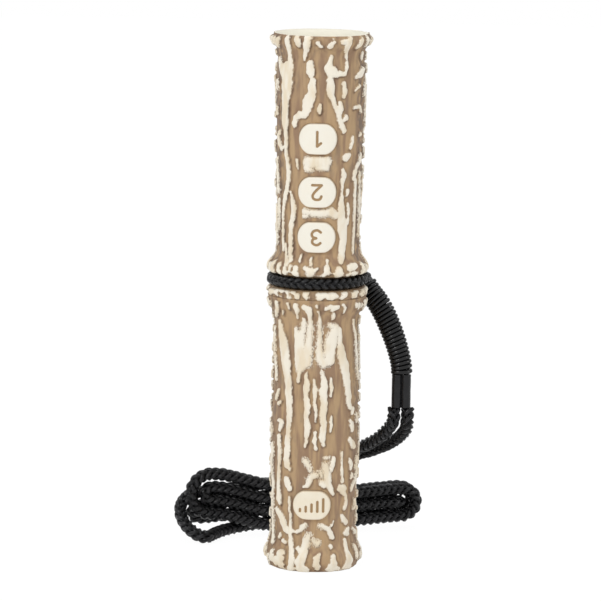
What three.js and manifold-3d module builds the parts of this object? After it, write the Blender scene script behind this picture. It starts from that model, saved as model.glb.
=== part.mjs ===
// A mouth-blown deer call: two moulded barrels with an antler texture, three tone pads over a reed,
// a volume pad over a choke plate, and a braided neck lanyard noosed in the waist groove.
// Millimetres, +Z up along the bore, the pads face -Y, and the origin is at the middle of the foot.
import * as THREE from "three";
import { mergeVertices } from "three/addons/utils/BufferGeometryUtils.js";
import Module from "manifold-3d";

const deg = THREE.MathUtils.degToRad;

// General fits
const GAP = 0.3; // between pieces that touch on the real call
const SLIDE_GAP = 0.35; // round the spigot, which pulls out
const ROUND = 48; // facets round a turned piece
const BARREL_ROUND = 60;

// Heights along the call
const FOOT_FLARE_Z = 4.7;
const VOLUME_Z = 24.7;
const SEAM_Z = 99.9;
const GROOVE_LOW_Z = 103.2;
const GROOVE_HIGH_Z = 108.2;
const WAIST_FLARE_Z = 110.5;
const SWELL_LOW_Z = 121; // where the upper barrel starts to swell
const YOUNG_BUCK_Z = 122.6;
const DOE_Z = 139.0;
const FAWN_Z = 158.2;
const SWELL_HIGH_Z = 165;
const RIM_Z = 193.4;
const CALL_HEIGHT = 195;

// Radii outside
const FOOT_CONTACT_R = 16.8;
const FOOT_FLARE_R = 18.1;
const LOWER_SHANK_R = 15.9;
const LOWER_BELLY_R = 16.4;
const SEAM_FLARE_R = 18.1;
const GROOVE_R = 13.9;
const WAIST_FLARE_R = 18.5;
const UPPER_WAIST_R = 15.4;
const UPPER_BELLY_R = 16.5;
const RIM_NECK_R = 16.0;
const RIM_R = 18.5;

// Bores
const LOWER_BORE_R = 12.9;
const FOOT_BORE_R = 14.3;
const UPPER_BORE_R = 13.0;
const MOUTH_R = 16.4;
const SEAT_BORE_R = 11.4;
const SPIGOT_LENGTH = 22;
const SEAT_LEDGE_Z = 110.5;

// Antler relief: raised slabs, with hollows between them
const RELIEF_HEIGHT = 0.42; // each way from the wall
const RELIEF_SLOPE = 0.9;
const RELIEF_FADE = 3; // how fast it dies out towards a barrel's ends
const FRONT_HALF = deg(66); // how far round from the front the slabs below reach
const FRONT_TURN = deg(2.6); // the slabs are read from a place this far round to the right

// The main slabs on the front, each a run of [across, up, half width] seen from there
const FRONT_SLABS = [
  [[-12.4, 193.6, 1.1], [-11.4, 187, 1.0], [-12.6, 180, 2.4], [-12.7, 173, 1.8], [-12.8, 162, 1.4]],
  [[-5.2, 194, 1.3], [-5.6, 189, 1.1], [-4, 183, 1.8], [-3.4, 177, 1.4], [-4.6, 171, 2.0], [-7.4, 166.4, 1.3]],
  [[3.4, 184, 1.9], [3.6, 176.5, 1.6], [6.2, 168.8, 1.2], [8.4, 162, 1.2]],
  [[8.8, 193.4, 1.4], [9, 188, 1.0], [9.4, 182, 1.0]],
  [[3.6, 192.6, 1.1], [4.4, 191.4, 1.0]],
  [[14.4, 182, 1.4], [14.4, 169, 1.2]],
  [[-12.4, 155, 1.2], [-11.8, 144, 1.3], [-12.7, 133, 1.2]],
  [[-4.6, 149.8, 2.0], [2.6, 149.8, 2.0]],
  [[-5.0, 131.7, 1.4], [5.6, 131.4, 1.5]],
  [[11.4, 157, 1.2], [9.8, 151, 1.2], [8.7, 144, 1.1]],
  [[8.4, 134, 1.3], [8.6, 126, 1.8], [8.4, 114, 1.2]],
  [[-9.4, 132, 1.2], [-10, 122, 1.3], [-10, 114, 1.1]],
  [[-8.3, 111.4, 1.1], [-8.3, 109.6, 1.1]],
  [[-4.4, 111.2, 1.0], [-3.2, 109.6, 1.6]],
  [[7.9, 111, 1.4], [7.2, 109.6, 1.2]],
  [[11.8, 111, 1.1], [13.6, 112, 1.1]],
  [[-14.3, 112.2, 1.0], [-14.4, 109.8, 1.0]],
  [[13.4, 146, 1.4], [13.2, 132, 1.1], [13, 118, 1.1]],
  [[-4.4, 97.6, 1.3], [-3.4, 93, 1.4], [-3.0, 90, 1.6], [-4.6, 82, 3.0], [-4.4, 75, 2.4]],
  [[1, 91, 1.2], [1.3, 80, 1.6]],
  [[-8, 98, 1.2], [-7.6, 95.6, 1.1]],
  [[4.2, 97, 1.2], [7.4, 97.4, 1.2]],
  [[-14.7, 98, 1.1], [-14.8, 93, 1.0]],
  [[6.4, 90, 1.8], [5.6, 84, 2.2], [4.8, 78, 2.2], [3.0, 69, 1.7], [3.0, 58, 1.6], [3.0, 49, 1.4]],
  [[9, 87, 1.3], [10.6, 76, 1.9], [12, 64, 1.4]],
  [[-12.5, 88, 1.6], [-11.3, 79, 2.2], [-10, 67, 1.6], [-9.7, 53, 1.4], [-10.2, 39, 1.6]],
  [[-3.4, 68, 1.5], [-3, 55, 1.4], [-3.2, 49, 1.2]],
  [[-13, 48, 1.5], [-13.1, 38, 1.2], [-12.8, 27, 1.6]],
  [[13.7, 53, 1.6], [13.8, 46, 1.6], [13.4, 38, 1.5]],
  [[4.4, 38, 1.5], [5.2, 32.8, 1.6]],
  [[-2.6, 40, 1.4], [-1.6, 34, 1.4]],
  [[10.6, 30.4, 1.7], [11.8, 19, 1.5]],
  [[-10, 32, 1.5], [-8.8, 25, 1.1]],
  [[-12.6, 19.8, 1.6], [-9.6, 14.6, 1.4], [-4.4, 15.6, 1.2]],
  [[-2.2, 12.4, 1.5], [-4.4, 5.4, 2.2], [-4, 1.6, 2.0]],
  [[-8, 7, 1.0], [-8.2, 1.6, 1.3]],
  [[-12, 6, 1.4], [-12.8, 2.6, 1.8]],
  [[1.4, 5.4, 1.3], [1.6, 2.4, 1.3]],
  [[7.6, 5.4, 1.1], [7.6, 1.6, 2.0]],
  [[4.4, 16.4, 1.3], [6.8, 12.8, 1.2]],
  [[12.4, 13.8, 1.4], [12.4, 8, 1.1], [13.4, 2.4, 1.9]],
];

// Streaks up the sides and back, evenly spread; each wanders, and swells and narrows
const SIDE_STREAKS = 8;
const STREAK_WANDER = { far: 1.5, wavelength: 31, phase: 1.7 };
const STREAK_WIDTH = { half: 1.5, swell: 1.2, wavelength: 43, phase: 2.4 };

// Press pads
const PAD_WIDTH = 13.7;
const PAD_HEIGHT = 11.1;
const VOLUME_PAD_HEIGHT = 10.6;
const PAD_PROUD = 0.9;
const PAD_FLANGE_LAP = 0.9;
const PAD_FLANGE_THICK = 1.3;
const PAD_MARGIN = 2.2; // smooth wall round a pad
const PAD_TRAVEL = 2.2;
const PIN_R = 1.5;
const PIN_HEAD_R = 2.2;
const PIN_HEAD_THICK = 0.9;
const CHOKE_R = 5.5;
const CHOKE_THICK = 1.4;
const CHOKE_STEM_LENGTH = 1.6;

// Reed assembly
const STEM_R = SEAT_BORE_R - GAP;
const STEM_LOW_Z = 92;
const STEM_BORE_R = 5.2;
const BOARD_FLANGE_THICK = 2;
const BOARD_R = 8.2;
const BOARD_TIP_Z = 170;
const LAY_ROOT_Y = -3.0;
const LAY_TIP_Y = -1.2;
const TROUGH_WIDTH = 5;
const TROUGH_FLOOR_Y = 3.2;
const TROUGH_END = 5; // solid board left at the tip
const REED_WIDTH = 10.4;
const REED_THICK = 0.35;
const REED_TIP_Z = 168;
const WEDGE_WIDTH = 9.6;
const WEDGE_THICK = 2.2;
const WEDGE_LENGTH = 9.6;
const POCKET_DEPTH = 3.2; // below the seat ledge, for the reed's root and the wedge
const BAND_WIRE = 1.6;
const SEAL_WIRE = 1.2;
const SEAL_Z = 104.5;

// Lanyard
const CORD_D = 4.4;
const STRAND_D = 2.2; // a strand squeezed by the whipping
const STRAND_PITCH = 2.65;
const WHIP_GAP = 0.45; // round the strands
const WHIP_WIRE_D = 0.72;
const WHIP_PITCH = 1.5;
const WHIP_TURNS = 24;
const WHIP_STEPS = 10;
const FERRULE_LENGTH = 12.5;
const FERRULE_LOBE_D = 3.5;
const FERRULE_BORE_D = 2.5;
const FERRULE_PITCH = 3.3;
const LEAD_PITCH = 5; // between the two leads where they leave the ferrule

// Hank: a doubled cord, folded round a waist that the tie draws in
const HANK_PITCH = 5.1;
const HANK_X = -4.4;
const HANK_Y = 49.8;
const HANK_TURN = deg(22.2);
const HANK_ROW_LOW_Z = 4.1;
const HANK_WAIST_HALF = 12;
const HANK_TURNS = 1.915;
const RUN_STEPS = 3;
const BIGHT_STEPS = 6;
const FRONT_BULB = { reach: 39, z: 17.6, r: 7.6, forward: 0 };
const BACK_BULB = { reach: 42, z: 9.9, r: 7.5, forward: 12 }; // its foot comes forward under the front loops
const RIGHT_BULB = { reach: 39, z: 10.2, r: 5.2, forward: 0 };
const FOLD_R = 3.2;
const TIE_WIDTH = 4;
const TIE_THICK = 1.2;

const wasm = await Module();
wasm.setup();

const ease = (t) => t * t * (3 - 2 * t);
const mix = (a, b, t) => a + (b - a) * t;

function toSolid(geometry) {
  const bare = geometry.clone();
  for (const name of Object.keys(bare.attributes)) if (name !== "position") bare.deleteAttribute(name);
  const merged = mergeVertices(bare, 1e-4);
  const vertProperties = new Float32Array(merged.attributes.position.array);
  const index = merged.index.array;
  const triVerts = [];
  for (let i = 0; i < index.length; i += 3) {
    const [a, b, c] = [index[i], index[i + 1], index[i + 2]];
    if (a !== b && b !== c && c !== a) triVerts.push(a, b, c);
  }
  return new wasm.Manifold(new wasm.Mesh({ numProp: 3, vertProperties, triVerts: new Uint32Array(triVerts) }));
}

function toGeometry(solid) {
  const { vertProperties, triVerts } = solid.getMesh();
  const geometry = new THREE.BufferGeometry();
  geometry.setAttribute("position", new THREE.BufferAttribute(new Float32Array(vertProperties), 3));
  geometry.setIndex(new THREE.BufferAttribute(new Uint32Array(triVerts), 1));
  return geometry;
}

// A closed profile of [radius, height] points turned round +Z; shift moves a point in or out.
function revolve(profile, segments = ROUND, shift = null) {
  const points = [...profile, profile[0]].map(([r, z]) => new THREE.Vector2(r, z));
  const geometry = new THREE.LatheGeometry(points, segments).rotateX(Math.PI / 2);
  const position = geometry.attributes.position;
  for (let i = 0; shift && i < position.count; i++) {
    const corner = i % points.length;
    const [x, y, z] = [position.getX(i), position.getY(i), position.getZ(i)];
    const r = Math.hypot(x, y);
    // The first and last angle are the same place, so both take the same shift
    const angle = i < position.count - points.length ? Math.atan2(y, x) : Math.atan2(position.getY(corner), position.getX(corner));
    const moved = r + shift(corner, angle, z);
    position.setXY(i, moved * Math.cos(angle), moved * Math.sin(angle));
  }
  return geometry;
}

function cylinderZ(r, low, high, segments = ROUND) {
  return new THREE.CylinderGeometry(r, r, high - low, segments).rotateX(Math.PI / 2).translate(0, 0, (low + high) / 2);
}

// A cylinder along Y between two values of y, centred at height z.
function cylinderY(r, from, to, z, segments = 20) {
  return new THREE.CylinderGeometry(r, r, to - from, segments).translate(0, (from + to) / 2, z);
}

function box(low, high) {
  const size = high.map((value, i) => value - low[i]);
  return new THREE.BoxGeometry(...size).translate(...low.map((value, i) => value + size[i] / 2));
}

// A flat-sided oval in the XZ plane, pushed out along -Y from the axis.
function ovalPrism(width, height, z, depth = 30) {
  const flat = width * 0.16;
  const [rx, rz] = [width / 2 - flat, height / 2];
  const shape = new THREE.Shape();
  shape.absellipse(flat, 0, rx, rz, -Math.PI / 2, Math.PI / 2);
  shape.absellipse(-flat, 0, rx, rz, Math.PI / 2, Math.PI * 1.5);
  const geometry = new THREE.ExtrudeGeometry(shape, { depth, bevelEnabled: false, curveSegments: 9 });
  return geometry.rotateX(Math.PI / 2).translate(0, 0, z);
}

// A tube through the points, with its own radius at each; its ends are flat caps.
function tube(points, radii, sides) {
  const rings = [];
  let normal = null;
  points.forEach((point, i) => {
    const before = points[Math.max(i - 1, 0)];
    const after = points[Math.min(i + 1, points.length - 1)];
    const along = after.clone().sub(before).normalize();
    if (!normal) normal = Math.abs(along.z) < 0.9 ? new THREE.Vector3(0, 0, 1) : new THREE.Vector3(0, 1, 0);
    normal = normal.clone().addScaledVector(along, -normal.dot(along)).normalize();
    const across = along.clone().cross(normal);
    const radius = Array.isArray(radii) ? radii[i] : radii;
    for (let k = 0; k < sides; k++) {
      const a = (2 * Math.PI * (k + 0.5)) / sides;
      rings.push(point.clone().addScaledVector(normal, radius * Math.cos(a)).addScaledVector(across, radius * Math.sin(a)));
    }
  });
  const index = [];
  for (let i = 0; i < points.length - 1; i++) {
    for (let k = 0; k < sides; k++) {
      const [a, b] = [i * sides + k, i * sides + ((k + 1) % sides)];
      index.push(a, a + sides, b, b, a + sides, b + sides);
    }
  }
  const last = (points.length - 1) * sides;
  for (let k = 1; k < sides - 1; k++) {
    index.push(0, k, k + 1);
    index.push(last, last + k + 1, last + k);
  }
  const geometry = new THREE.BufferGeometry().setFromPoints(rings);
  geometry.setIndex(index);
  return outward(geometry);
}

function outward(geometry) {
  const position = geometry.attributes.position;
  const index = geometry.index.array;
  const [a, b, c] = [new THREE.Vector3(), new THREE.Vector3(), new THREE.Vector3()];
  let volume = 0;
  for (let i = 0; i < index.length; i += 3) {
    a.fromBufferAttribute(position, index[i]);
    b.fromBufferAttribute(position, index[i + 1]);
    c.fromBufferAttribute(position, index[i + 2]);
    volume += a.dot(b.clone().cross(c));
  }
  if (volume < 0) for (let i = 0; i < index.length; i += 3) [index[i + 1], index[i + 2]] = [index[i + 2], index[i + 1]];
  return geometry;
}

// Least distance between parts of a path that are not neighbours, less the cord's own thickness.
function leastGap(points, diameter, skip) {
  const path = new THREE.CurvePath();
  for (let i = 1; i < points.length; i++) path.add(new THREE.LineCurve3(points[i - 1], points[i]));
  const samples = path.getSpacedPoints(points.length * 4);
  const apart = Math.ceil((skip * samples.length) / path.getLength());
  let least = Infinity;
  for (let i = 0; i < samples.length; i++) {
    for (let j = i + apart; j < samples.length; j++) least = Math.min(least, samples[i].distanceTo(samples[j]));
  }
  return least - diameter;
}

// How far a place lies inside the nearest slab of the front, below 0 outside them all.
function insideFront(across, z) {
  let inside = -RELIEF_SLOPE;
  for (const run of FRONT_SLABS) {
    for (let i = 1; i < run.length; i++) {
      const [[x0, z0, w0], [x1, z1, w1]] = [run[i - 1], run[i]];
      const [dx, dz] = [x1 - x0, z1 - z0];
      const t = THREE.MathUtils.clamp(((across - x0) * dx + (z - z0) * dz) / (dx * dx + dz * dz), 0, 1);
      inside = Math.max(inside, mix(w0, w1, t) - Math.hypot(across - x0 - t * dx, z - z0 - t * dz));
    }
  }
  return inside;
}

// The same for the streaks of the sides and back, at an angle round from -Y.
function insideStreak(round, z, r) {
  const spread = (2 * Math.PI - 2 * FRONT_HALF) / SIDE_STREAKS;
  let inside = -RELIEF_SLOPE;
  for (let k = 0; k < SIDE_STREAKS; k++) {
    const wander = STREAK_WANDER.far * Math.sin((2 * Math.PI * z) / STREAK_WANDER.wavelength + STREAK_WANDER.phase * k);
    const width = STREAK_WIDTH.half
      + STREAK_WIDTH.swell * Math.sin((2 * Math.PI * z) / STREAK_WIDTH.wavelength + STREAK_WIDTH.phase * k);
    const away = (round - FRONT_HALF - (k + 0.5) * spread) * r - wander;
    inside = Math.max(inside, width - Math.abs(away));
  }
  return inside;
}

// The antler relief: up on a slab or streak, down between them.
function relief(angle, z, r) {
  const round = ((angle + Math.PI / 2) % (2 * Math.PI) + 2 * Math.PI) % (2 * Math.PI);
  const front = round < FRONT_HALF || round > 2 * Math.PI - FRONT_HALF;
  const inside = front ? insideFront(Math.sin(round - FRONT_TURN) * r, z) : insideStreak(round, z, r);
  return RELIEF_HEIGHT * (2 * THREE.MathUtils.smoothstep(inside, -RELIEF_SLOPE, RELIEF_SLOPE) - 1);
}

// 0 on and round a pad, 1 clear of it.
function clearOfPads(angle, z, r, pads) {
  let least = 1;
  for (const { z: padZ, height } of pads) {
    const across = Math.cos(angle) * r;
    if (Math.sin(angle) > 0) continue;
    const away = Math.hypot(across / (PAD_WIDTH / 2 + PAD_MARGIN), (z - padZ) / (height / 2 + PAD_MARGIN));
    least = Math.min(least, THREE.MathUtils.smoothstep(away, 0.95, 1.35));
  }
  return least;
}

const TONE_PADS = [
  { name: "fawn", z: FAWN_Z, height: PAD_HEIGHT },
  { name: "doe", z: DOE_Z, height: PAD_HEIGHT },
  { name: "young_buck", z: YOUNG_BUCK_Z, height: PAD_HEIGHT },
];
const VOLUME_PAD = { name: "volume", z: VOLUME_Z, height: VOLUME_PAD_HEIGHT };

// The outside of a barrel from a few stations, with extra rows between them for the relief.
function skin(stations, rowHeight) {
  const curve = [];
  for (let i = 0; i < stations.length - 1; i++) {
    const [a, b] = [stations[i], stations[i + 1]];
    const rows = Math.max(1, Math.round(Math.abs(b[1] - a[1]) / rowHeight));
    for (let k = 0; k < rows; k++) curve.push([mix(a[0], b[0], ease(k / rows)), mix(a[1], b[1], k / rows)]);
  }
  curve.push(stations.at(-1));
  return curve;
}

const RELIEF_ROW = 3.4;

function barrel(stations, inside, pads, plainBelow, plainAbove) {
  const outside = skin(stations, RELIEF_ROW);
  const shift = (corner, angle, z) => {
    if (corner >= outside.length - 1 || corner === 0) return 0;
    const ends = THREE.MathUtils.smoothstep(z, plainBelow, plainBelow + RELIEF_FADE)
      * (1 - THREE.MathUtils.smoothstep(z, plainAbove - RELIEF_FADE, plainAbove));
    const r = outside[corner][0];
    return relief(angle, z, r) * ends * clearOfPads(angle, z, r, pads);
  };
  let solid = toSolid(revolve([...outside, ...inside], BARREL_ROUND, shift));
  for (const { z, height } of pads) {
    solid = solid.subtract(toSolid(ovalPrism(PAD_WIDTH + 2 * GAP, height + 2 * GAP, z)));
  }
  return solid;
}

function lowerBarrel() {
  const top = SEAM_Z - GAP;
  const stations = [
    [FOOT_CONTACT_R, 0],
    [FOOT_FLARE_R, FOOT_FLARE_Z],
    [LOWER_SHANK_R, 10],
    [LOWER_BELLY_R, 40],
    [LOWER_BELLY_R, 65],
    [LOWER_SHANK_R, 90],
    [SEAM_FLARE_R, 96.5],
    [SEAM_FLARE_R - 0.5, top],
  ];
  const inside = [
    [LOWER_BORE_R, top],
    [LOWER_BORE_R, 60],
    [LOWER_BORE_R, 32],
    [LOWER_BORE_R, 17],
    [FOOT_BORE_R, 0],
  ];
  return barrel(stations, inside, [VOLUME_PAD], 0, 99);
}

function upperBarrel() {
  const stations = [
    [SEAM_FLARE_R - 0.5, SEAM_Z],
    [SEAM_FLARE_R, SEAM_Z + 0.8],
    [SEAM_FLARE_R, GROOVE_LOW_Z - 0.7],
    [SEAM_FLARE_R - 0.9, GROOVE_LOW_Z],
    [GROOVE_R, GROOVE_LOW_Z + 0.2],
    [GROOVE_R, GROOVE_HIGH_Z - 0.2],
    [WAIST_FLARE_R - 0.8, GROOVE_HIGH_Z],
    [WAIST_FLARE_R, WAIST_FLARE_Z],
    [UPPER_WAIST_R, 116],
    [UPPER_WAIST_R, SWELL_LOW_Z],
    [UPPER_BELLY_R, SWELL_HIGH_Z],
    [UPPER_BELLY_R, 182],
    [RIM_NECK_R, 186.6],
    [RIM_R, 191.6],
    [RIM_R, RIM_Z],
    [RIM_R - 0.9, CALL_HEIGHT],
  ];
  const spigotR = LOWER_BORE_R - SLIDE_GAP;
  const inside = [
    [MOUTH_R, CALL_HEIGHT],
    [UPPER_BORE_R, 188],
    [UPPER_BORE_R, 166],
    [UPPER_BORE_R, 146],
    [UPPER_BORE_R, 131],
    [UPPER_BORE_R, SEAT_LEDGE_Z],
    [SEAT_BORE_R, SEAT_LEDGE_Z],
    [SEAT_BORE_R, SEAM_Z - SPIGOT_LENGTH],
    [spigotR, SEAM_Z - SPIGOT_LENGTH],
    [spigotR, SEAM_Z],
  ];
  return barrel(stations, inside, TONE_PADS, GROOVE_HIGH_Z, CALL_HEIGHT);
}

// A soft pad: an oval plug through the wall with a wider flange inside the bore.
function pad({ z, height }, wallR, boreR) {
  const outerR = wallR + PAD_PROUD;
  const flangeR = boreR - GAP;
  const reach = height / 2 + PAD_FLANGE_LAP + 1;
  const plug = toSolid(ovalPrism(PAD_WIDTH, height, z))
    .intersect(toSolid(cylinderZ(outerR, z - reach, z + reach, 1.5 * ROUND)));
  const flange = toSolid(ovalPrism(PAD_WIDTH + 2 * PAD_FLANGE_LAP, height + 2 * PAD_FLANGE_LAP, z))
    .intersect(toSolid(cylinderZ(flangeR, z - reach, z + reach)));
  return plug.add(flange).subtract(toSolid(cylinderZ(flangeR - PAD_FLANGE_THICK, z - reach - 1, z + reach + 1)));
}

const PAD_BACK_R = UPPER_BORE_R - GAP - PAD_FLANGE_THICK;
const HEAD_Y = -(Math.sqrt(PAD_BACK_R ** 2 - PIN_HEAD_R ** 2) - GAP);
const REED_FRONT_Y = LAY_ROOT_Y - GAP - REED_THICK;

// A hard pin behind a tone pad; at full travel its tip stops just clear of the resting reed.
function tonePin(z) {
  const tip = REED_FRONT_Y - GAP - PAD_TRAVEL;
  const head = toSolid(cylinderY(PIN_HEAD_R, HEAD_Y, HEAD_Y + PIN_HEAD_THICK, z));
  return head.add(toSolid(cylinderY(PIN_R, HEAD_Y + PIN_HEAD_THICK / 2, tip, z)));
}

function volumeChoke() {
  const backR = LOWER_BORE_R - GAP - PAD_FLANGE_THICK;
  const from = -(Math.sqrt(backR ** 2 - PIN_HEAD_R ** 2) - GAP);
  const plateAt = from + CHOKE_STEM_LENGTH;
  const stem = toSolid(cylinderY(PIN_HEAD_R, from, plateAt + CHOKE_THICK / 2, VOLUME_Z));
  return stem.add(toSolid(cylinderY(CHOKE_R, plateAt, plateAt + CHOKE_THICK, VOLUME_Z, 28)));
}

const BOARD_FLANGE_LOW = SEAT_LEDGE_Z + GAP;
const BOARD_FLANGE_HIGH = BOARD_FLANGE_LOW + BOARD_FLANGE_THICK;
const POCKET_LOW_Z = SEAT_LEDGE_Z - POCKET_DEPTH;
const WEDGE_HIGH_Z = POCKET_LOW_Z + GAP + WEDGE_LENGTH;

// The hollow stem, its flange, and the board whose sloping lay the reed beats on.
function toneBoard() {
  const grooveR = STEM_R - GAP - SEAL_WIRE + GAP;
  const profile = [
    [0, STEM_LOW_Z],
    [STEM_R, STEM_LOW_Z],
    [STEM_R, SEAL_Z - SEAL_WIRE / 2 - GAP],
    [grooveR - GAP, SEAL_Z - SEAL_WIRE / 2 - GAP],
    [grooveR - GAP, SEAL_Z + SEAL_WIRE / 2 + GAP],
    [STEM_R, SEAL_Z + SEAL_WIRE / 2 + GAP],
    [STEM_R, BOARD_FLANGE_LOW],
    [UPPER_BORE_R - GAP, BOARD_FLANGE_LOW],
    [UPPER_BORE_R - GAP, BOARD_FLANGE_HIGH],
    [BOARD_R, BOARD_FLANGE_HIGH],
    [BOARD_R, BOARD_TIP_Z - 3],
    [BOARD_R - 2.5, BOARD_TIP_Z],
    [0, BOARD_TIP_Z],
  ];
  const lay = new THREE.Shape([
    new THREE.Vector2(LAY_ROOT_Y, BOARD_FLANGE_HIGH),
    new THREE.Vector2(LAY_TIP_Y, BOARD_TIP_Z + 1),
    new THREE.Vector2(-30, BOARD_TIP_Z + 1),
    new THREE.Vector2(-30, BOARD_FLANGE_HIGH),
  ]);
  const layCut = new THREE.ExtrudeGeometry(lay, { depth: 40, bevelEnabled: false });
  // The outline's own axes are y and z; its depth is turned to lie along x
  layCut.applyMatrix4(new THREE.Matrix4().makeBasis(
    new THREE.Vector3(0, 1, 0), new THREE.Vector3(0, 0, 1), new THREE.Vector3(1, 0, 0))).translate(-20, 0, 0);
  const half = TROUGH_WIDTH / 2;
  const trough = box([-half, -20, STEM_LOW_Z + 6], [half, TROUGH_FLOOR_Y, BOARD_TIP_Z - TROUGH_END]);
  const troughInside = toSolid(trough).subtract(
    toSolid(box([-20, -30, STEM_LOW_Z], [20, LAY_ROOT_Y, BOARD_FLANGE_HIGH])));
  const pocketHalf = Math.max(REED_WIDTH, WEDGE_WIDTH) / 2 + GAP;
  const pocketFront = REED_FRONT_Y - GAP - WEDGE_THICK - GAP;
  return toSolid(revolve(profile))
    .subtract(toSolid(layCut))
    .subtract(toSolid(cylinderZ(STEM_BORE_R, STEM_LOW_Z - 1, SEAL_Z + 3, 28)))
    .subtract(troughInside)
    .subtract(toSolid(box([-pocketHalf, pocketFront, POCKET_LOW_Z], [pocketHalf, LAY_ROOT_Y, BOARD_FLANGE_HIGH + 1])));
}

function reed() {
  const [back, front] = [LAY_ROOT_Y - GAP, REED_FRONT_Y];
  return toSolid(box([-REED_WIDTH / 2, front, POCKET_LOW_Z + GAP], [REED_WIDTH / 2, back, REED_TIP_Z]));
}

function reedWedge() {
  const back = REED_FRONT_Y - GAP;
  const low = POCKET_LOW_Z + GAP;
  const outline = new THREE.Shape([
    new THREE.Vector2(back, low),
    new THREE.Vector2(back, WEDGE_HIGH_Z),
    new THREE.Vector2(back - WEDGE_THICK * 0.6, WEDGE_HIGH_Z),
    new THREE.Vector2(back - WEDGE_THICK, BOARD_FLANGE_HIGH),
    new THREE.Vector2(back - WEDGE_THICK, low),
  ]);
  const geometry = new THREE.ExtrudeGeometry(outline, { depth: WEDGE_WIDTH, bevelEnabled: false });
  geometry.applyMatrix4(new THREE.Matrix4().makeBasis(
    new THREE.Vector3(0, 1, 0), new THREE.Vector3(0, 0, 1), new THREE.Vector3(1, 0, 0)));
  return toSolid(geometry.translate(-WEDGE_WIDTH / 2, 0, 0));
}

function ring(centreR, wire, z, segments = 28, sides = 6) {
  const circle = Array.from({ length: sides }, (_, i) => {
    const a = (2 * Math.PI * i) / sides;
    return [centreR + (wire / 2) * Math.cos(a), z + (wire / 2) * Math.sin(a)];
  });
  return toSolid(revolve(circle, segments));
}

// Where the lanyard leaves the groove and hangs, at the middle of its two strands
const LEAVE_POINTS = [
  [16.2, 13.0, 105.0],
  [18.1, 12.1, 102.3],
  [20.0, 10.5, 98.7],
  [23.2, 8.8, 94.0],
  [26.1, 7.4, 88.4],
  [28.7, 6.4, 82.0],
  [30.5, 5.7, 76.0],
  [31.2, 5.4, 72.2],
  [31.2, 5.4, 70.4],
].map((p) => new THREE.Vector3(...p));
const leave = new THREE.CatmullRomCurve3(LEAVE_POINTS, false, "centripetal");

// The side-by-side direction of the strands at a place on that line: across it, in the XZ plane.
function sideways(t) {
  const along = leave.getTangentAt(t);
  return new THREE.Vector3(0, 1, 0).cross(along).normalize();
}

function strandPoint(t, side) {
  return leave.getPointAt(t).addScaledVector(sideways(t), (side * STRAND_PITCH) / 2);
}

const RING_R = GROOVE_R + GAP + CORD_D / 2;
const RING_Z = (GROOVE_LOW_Z + GROOVE_HIGH_Z) / 2;
const RING_FROM = 28; // degrees round from +X where the near strand leaves the groove
const RING_TO = 51; // and where the far strand leaves it
const RING_OPENS = 34; // degrees over which each strand swings out of the groove
const LEAVE_R = 19.2;
const RING_STEPS = 26;
const STRAND_STEPS = 12;

// The noose: up one strand, round the groove and down the other, thinner inside the whipping.
function lanyardNoose() {
  const near = [];
  const far = [];
  for (let i = 0; i <= STRAND_STEPS; i++) {
    const t = 1 - (i / STRAND_STEPS) * 0.96;
    near.push(strandPoint(t, -1));
    far.push(strandPoint(t, 1));
  }
  const round = [];
  for (let i = 0; i <= RING_STEPS; i++) {
    const a = mix(RING_FROM, RING_TO - 360, i / RING_STEPS);
    const toEnd = Math.min(RING_FROM - a, a - (RING_TO - 360));
    const r = mix(LEAVE_R, RING_R, THREE.MathUtils.smoothstep(toEnd, 0, RING_OPENS));
    round.push(new THREE.Vector3(r * Math.cos(deg(a)), r * Math.sin(deg(a)), RING_Z));
  }
  const points = [...near, ...round, ...far.reverse()];
  const radii = points.map((_, i) => {
    const fromEnd = Math.min(i, points.length - 1 - i);
    return mix(STRAND_D, CORD_D, THREE.MathUtils.smoothstep(fromEnd, STRAND_STEPS, STRAND_STEPS + 3.5)) / 2;
  });
  console.log("lanyard_noose least gap to itself, mm:", leastGap(points, STRAND_D, 3 * CORD_D).toFixed(2));
  return tube(points, radii, 7);
}

const WHIP_FROM = 0.065; // share of the way down where the whipping starts

// The whipping: one thin cord wound round both strands in an oval helix.
function nooseWhipping() {
  const reachSide = STRAND_PITCH / 2 + STRAND_D / 2 + WHIP_GAP + WHIP_WIRE_D / 2;
  const reachDepth = STRAND_D / 2 + WHIP_GAP + WHIP_WIRE_D / 2;
  const length = leave.getLength();
  const start = WHIP_FROM * length;
  const flat = reachSide - reachDepth;
  const half = WHIP_STEPS / 2;
  const points = [];
  for (let i = 0; i <= WHIP_TURNS * WHIP_STEPS; i++) {
    const t = (start + (i / WHIP_STEPS) * WHIP_PITCH) / length;
    const side = sideways(t);
    const depth = leave.getTangentAt(t).cross(side).normalize();
    // Each half turn is a half circle round one strand, and a straight step takes it to the other
    const sign = Math.floor(i / half) % 2 === 0 ? 1 : -1;
    const a = Math.PI * ((i % half) / (half - 1) - 0.5);
    const offset = side.multiplyScalar(sign * (flat + reachDepth * Math.cos(a)))
      .addScaledVector(depth, sign * reachDepth * Math.sin(a));
    points.push(leave.getPointAt(t).add(offset));
  }
  console.log("noose_whipping least gap to itself, mm:", leastGap(points, WHIP_WIRE_D, 3).toFixed(2));
  return tube(points, WHIP_WIRE_D / 2, 5);
}

const FERRULE_END = leave.getPointAt(1); // where the strands end, at the ferrule's mouths
const FERRULE_LOW_Z = FERRULE_END.z - GAP - FERRULE_LENGTH;

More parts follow.
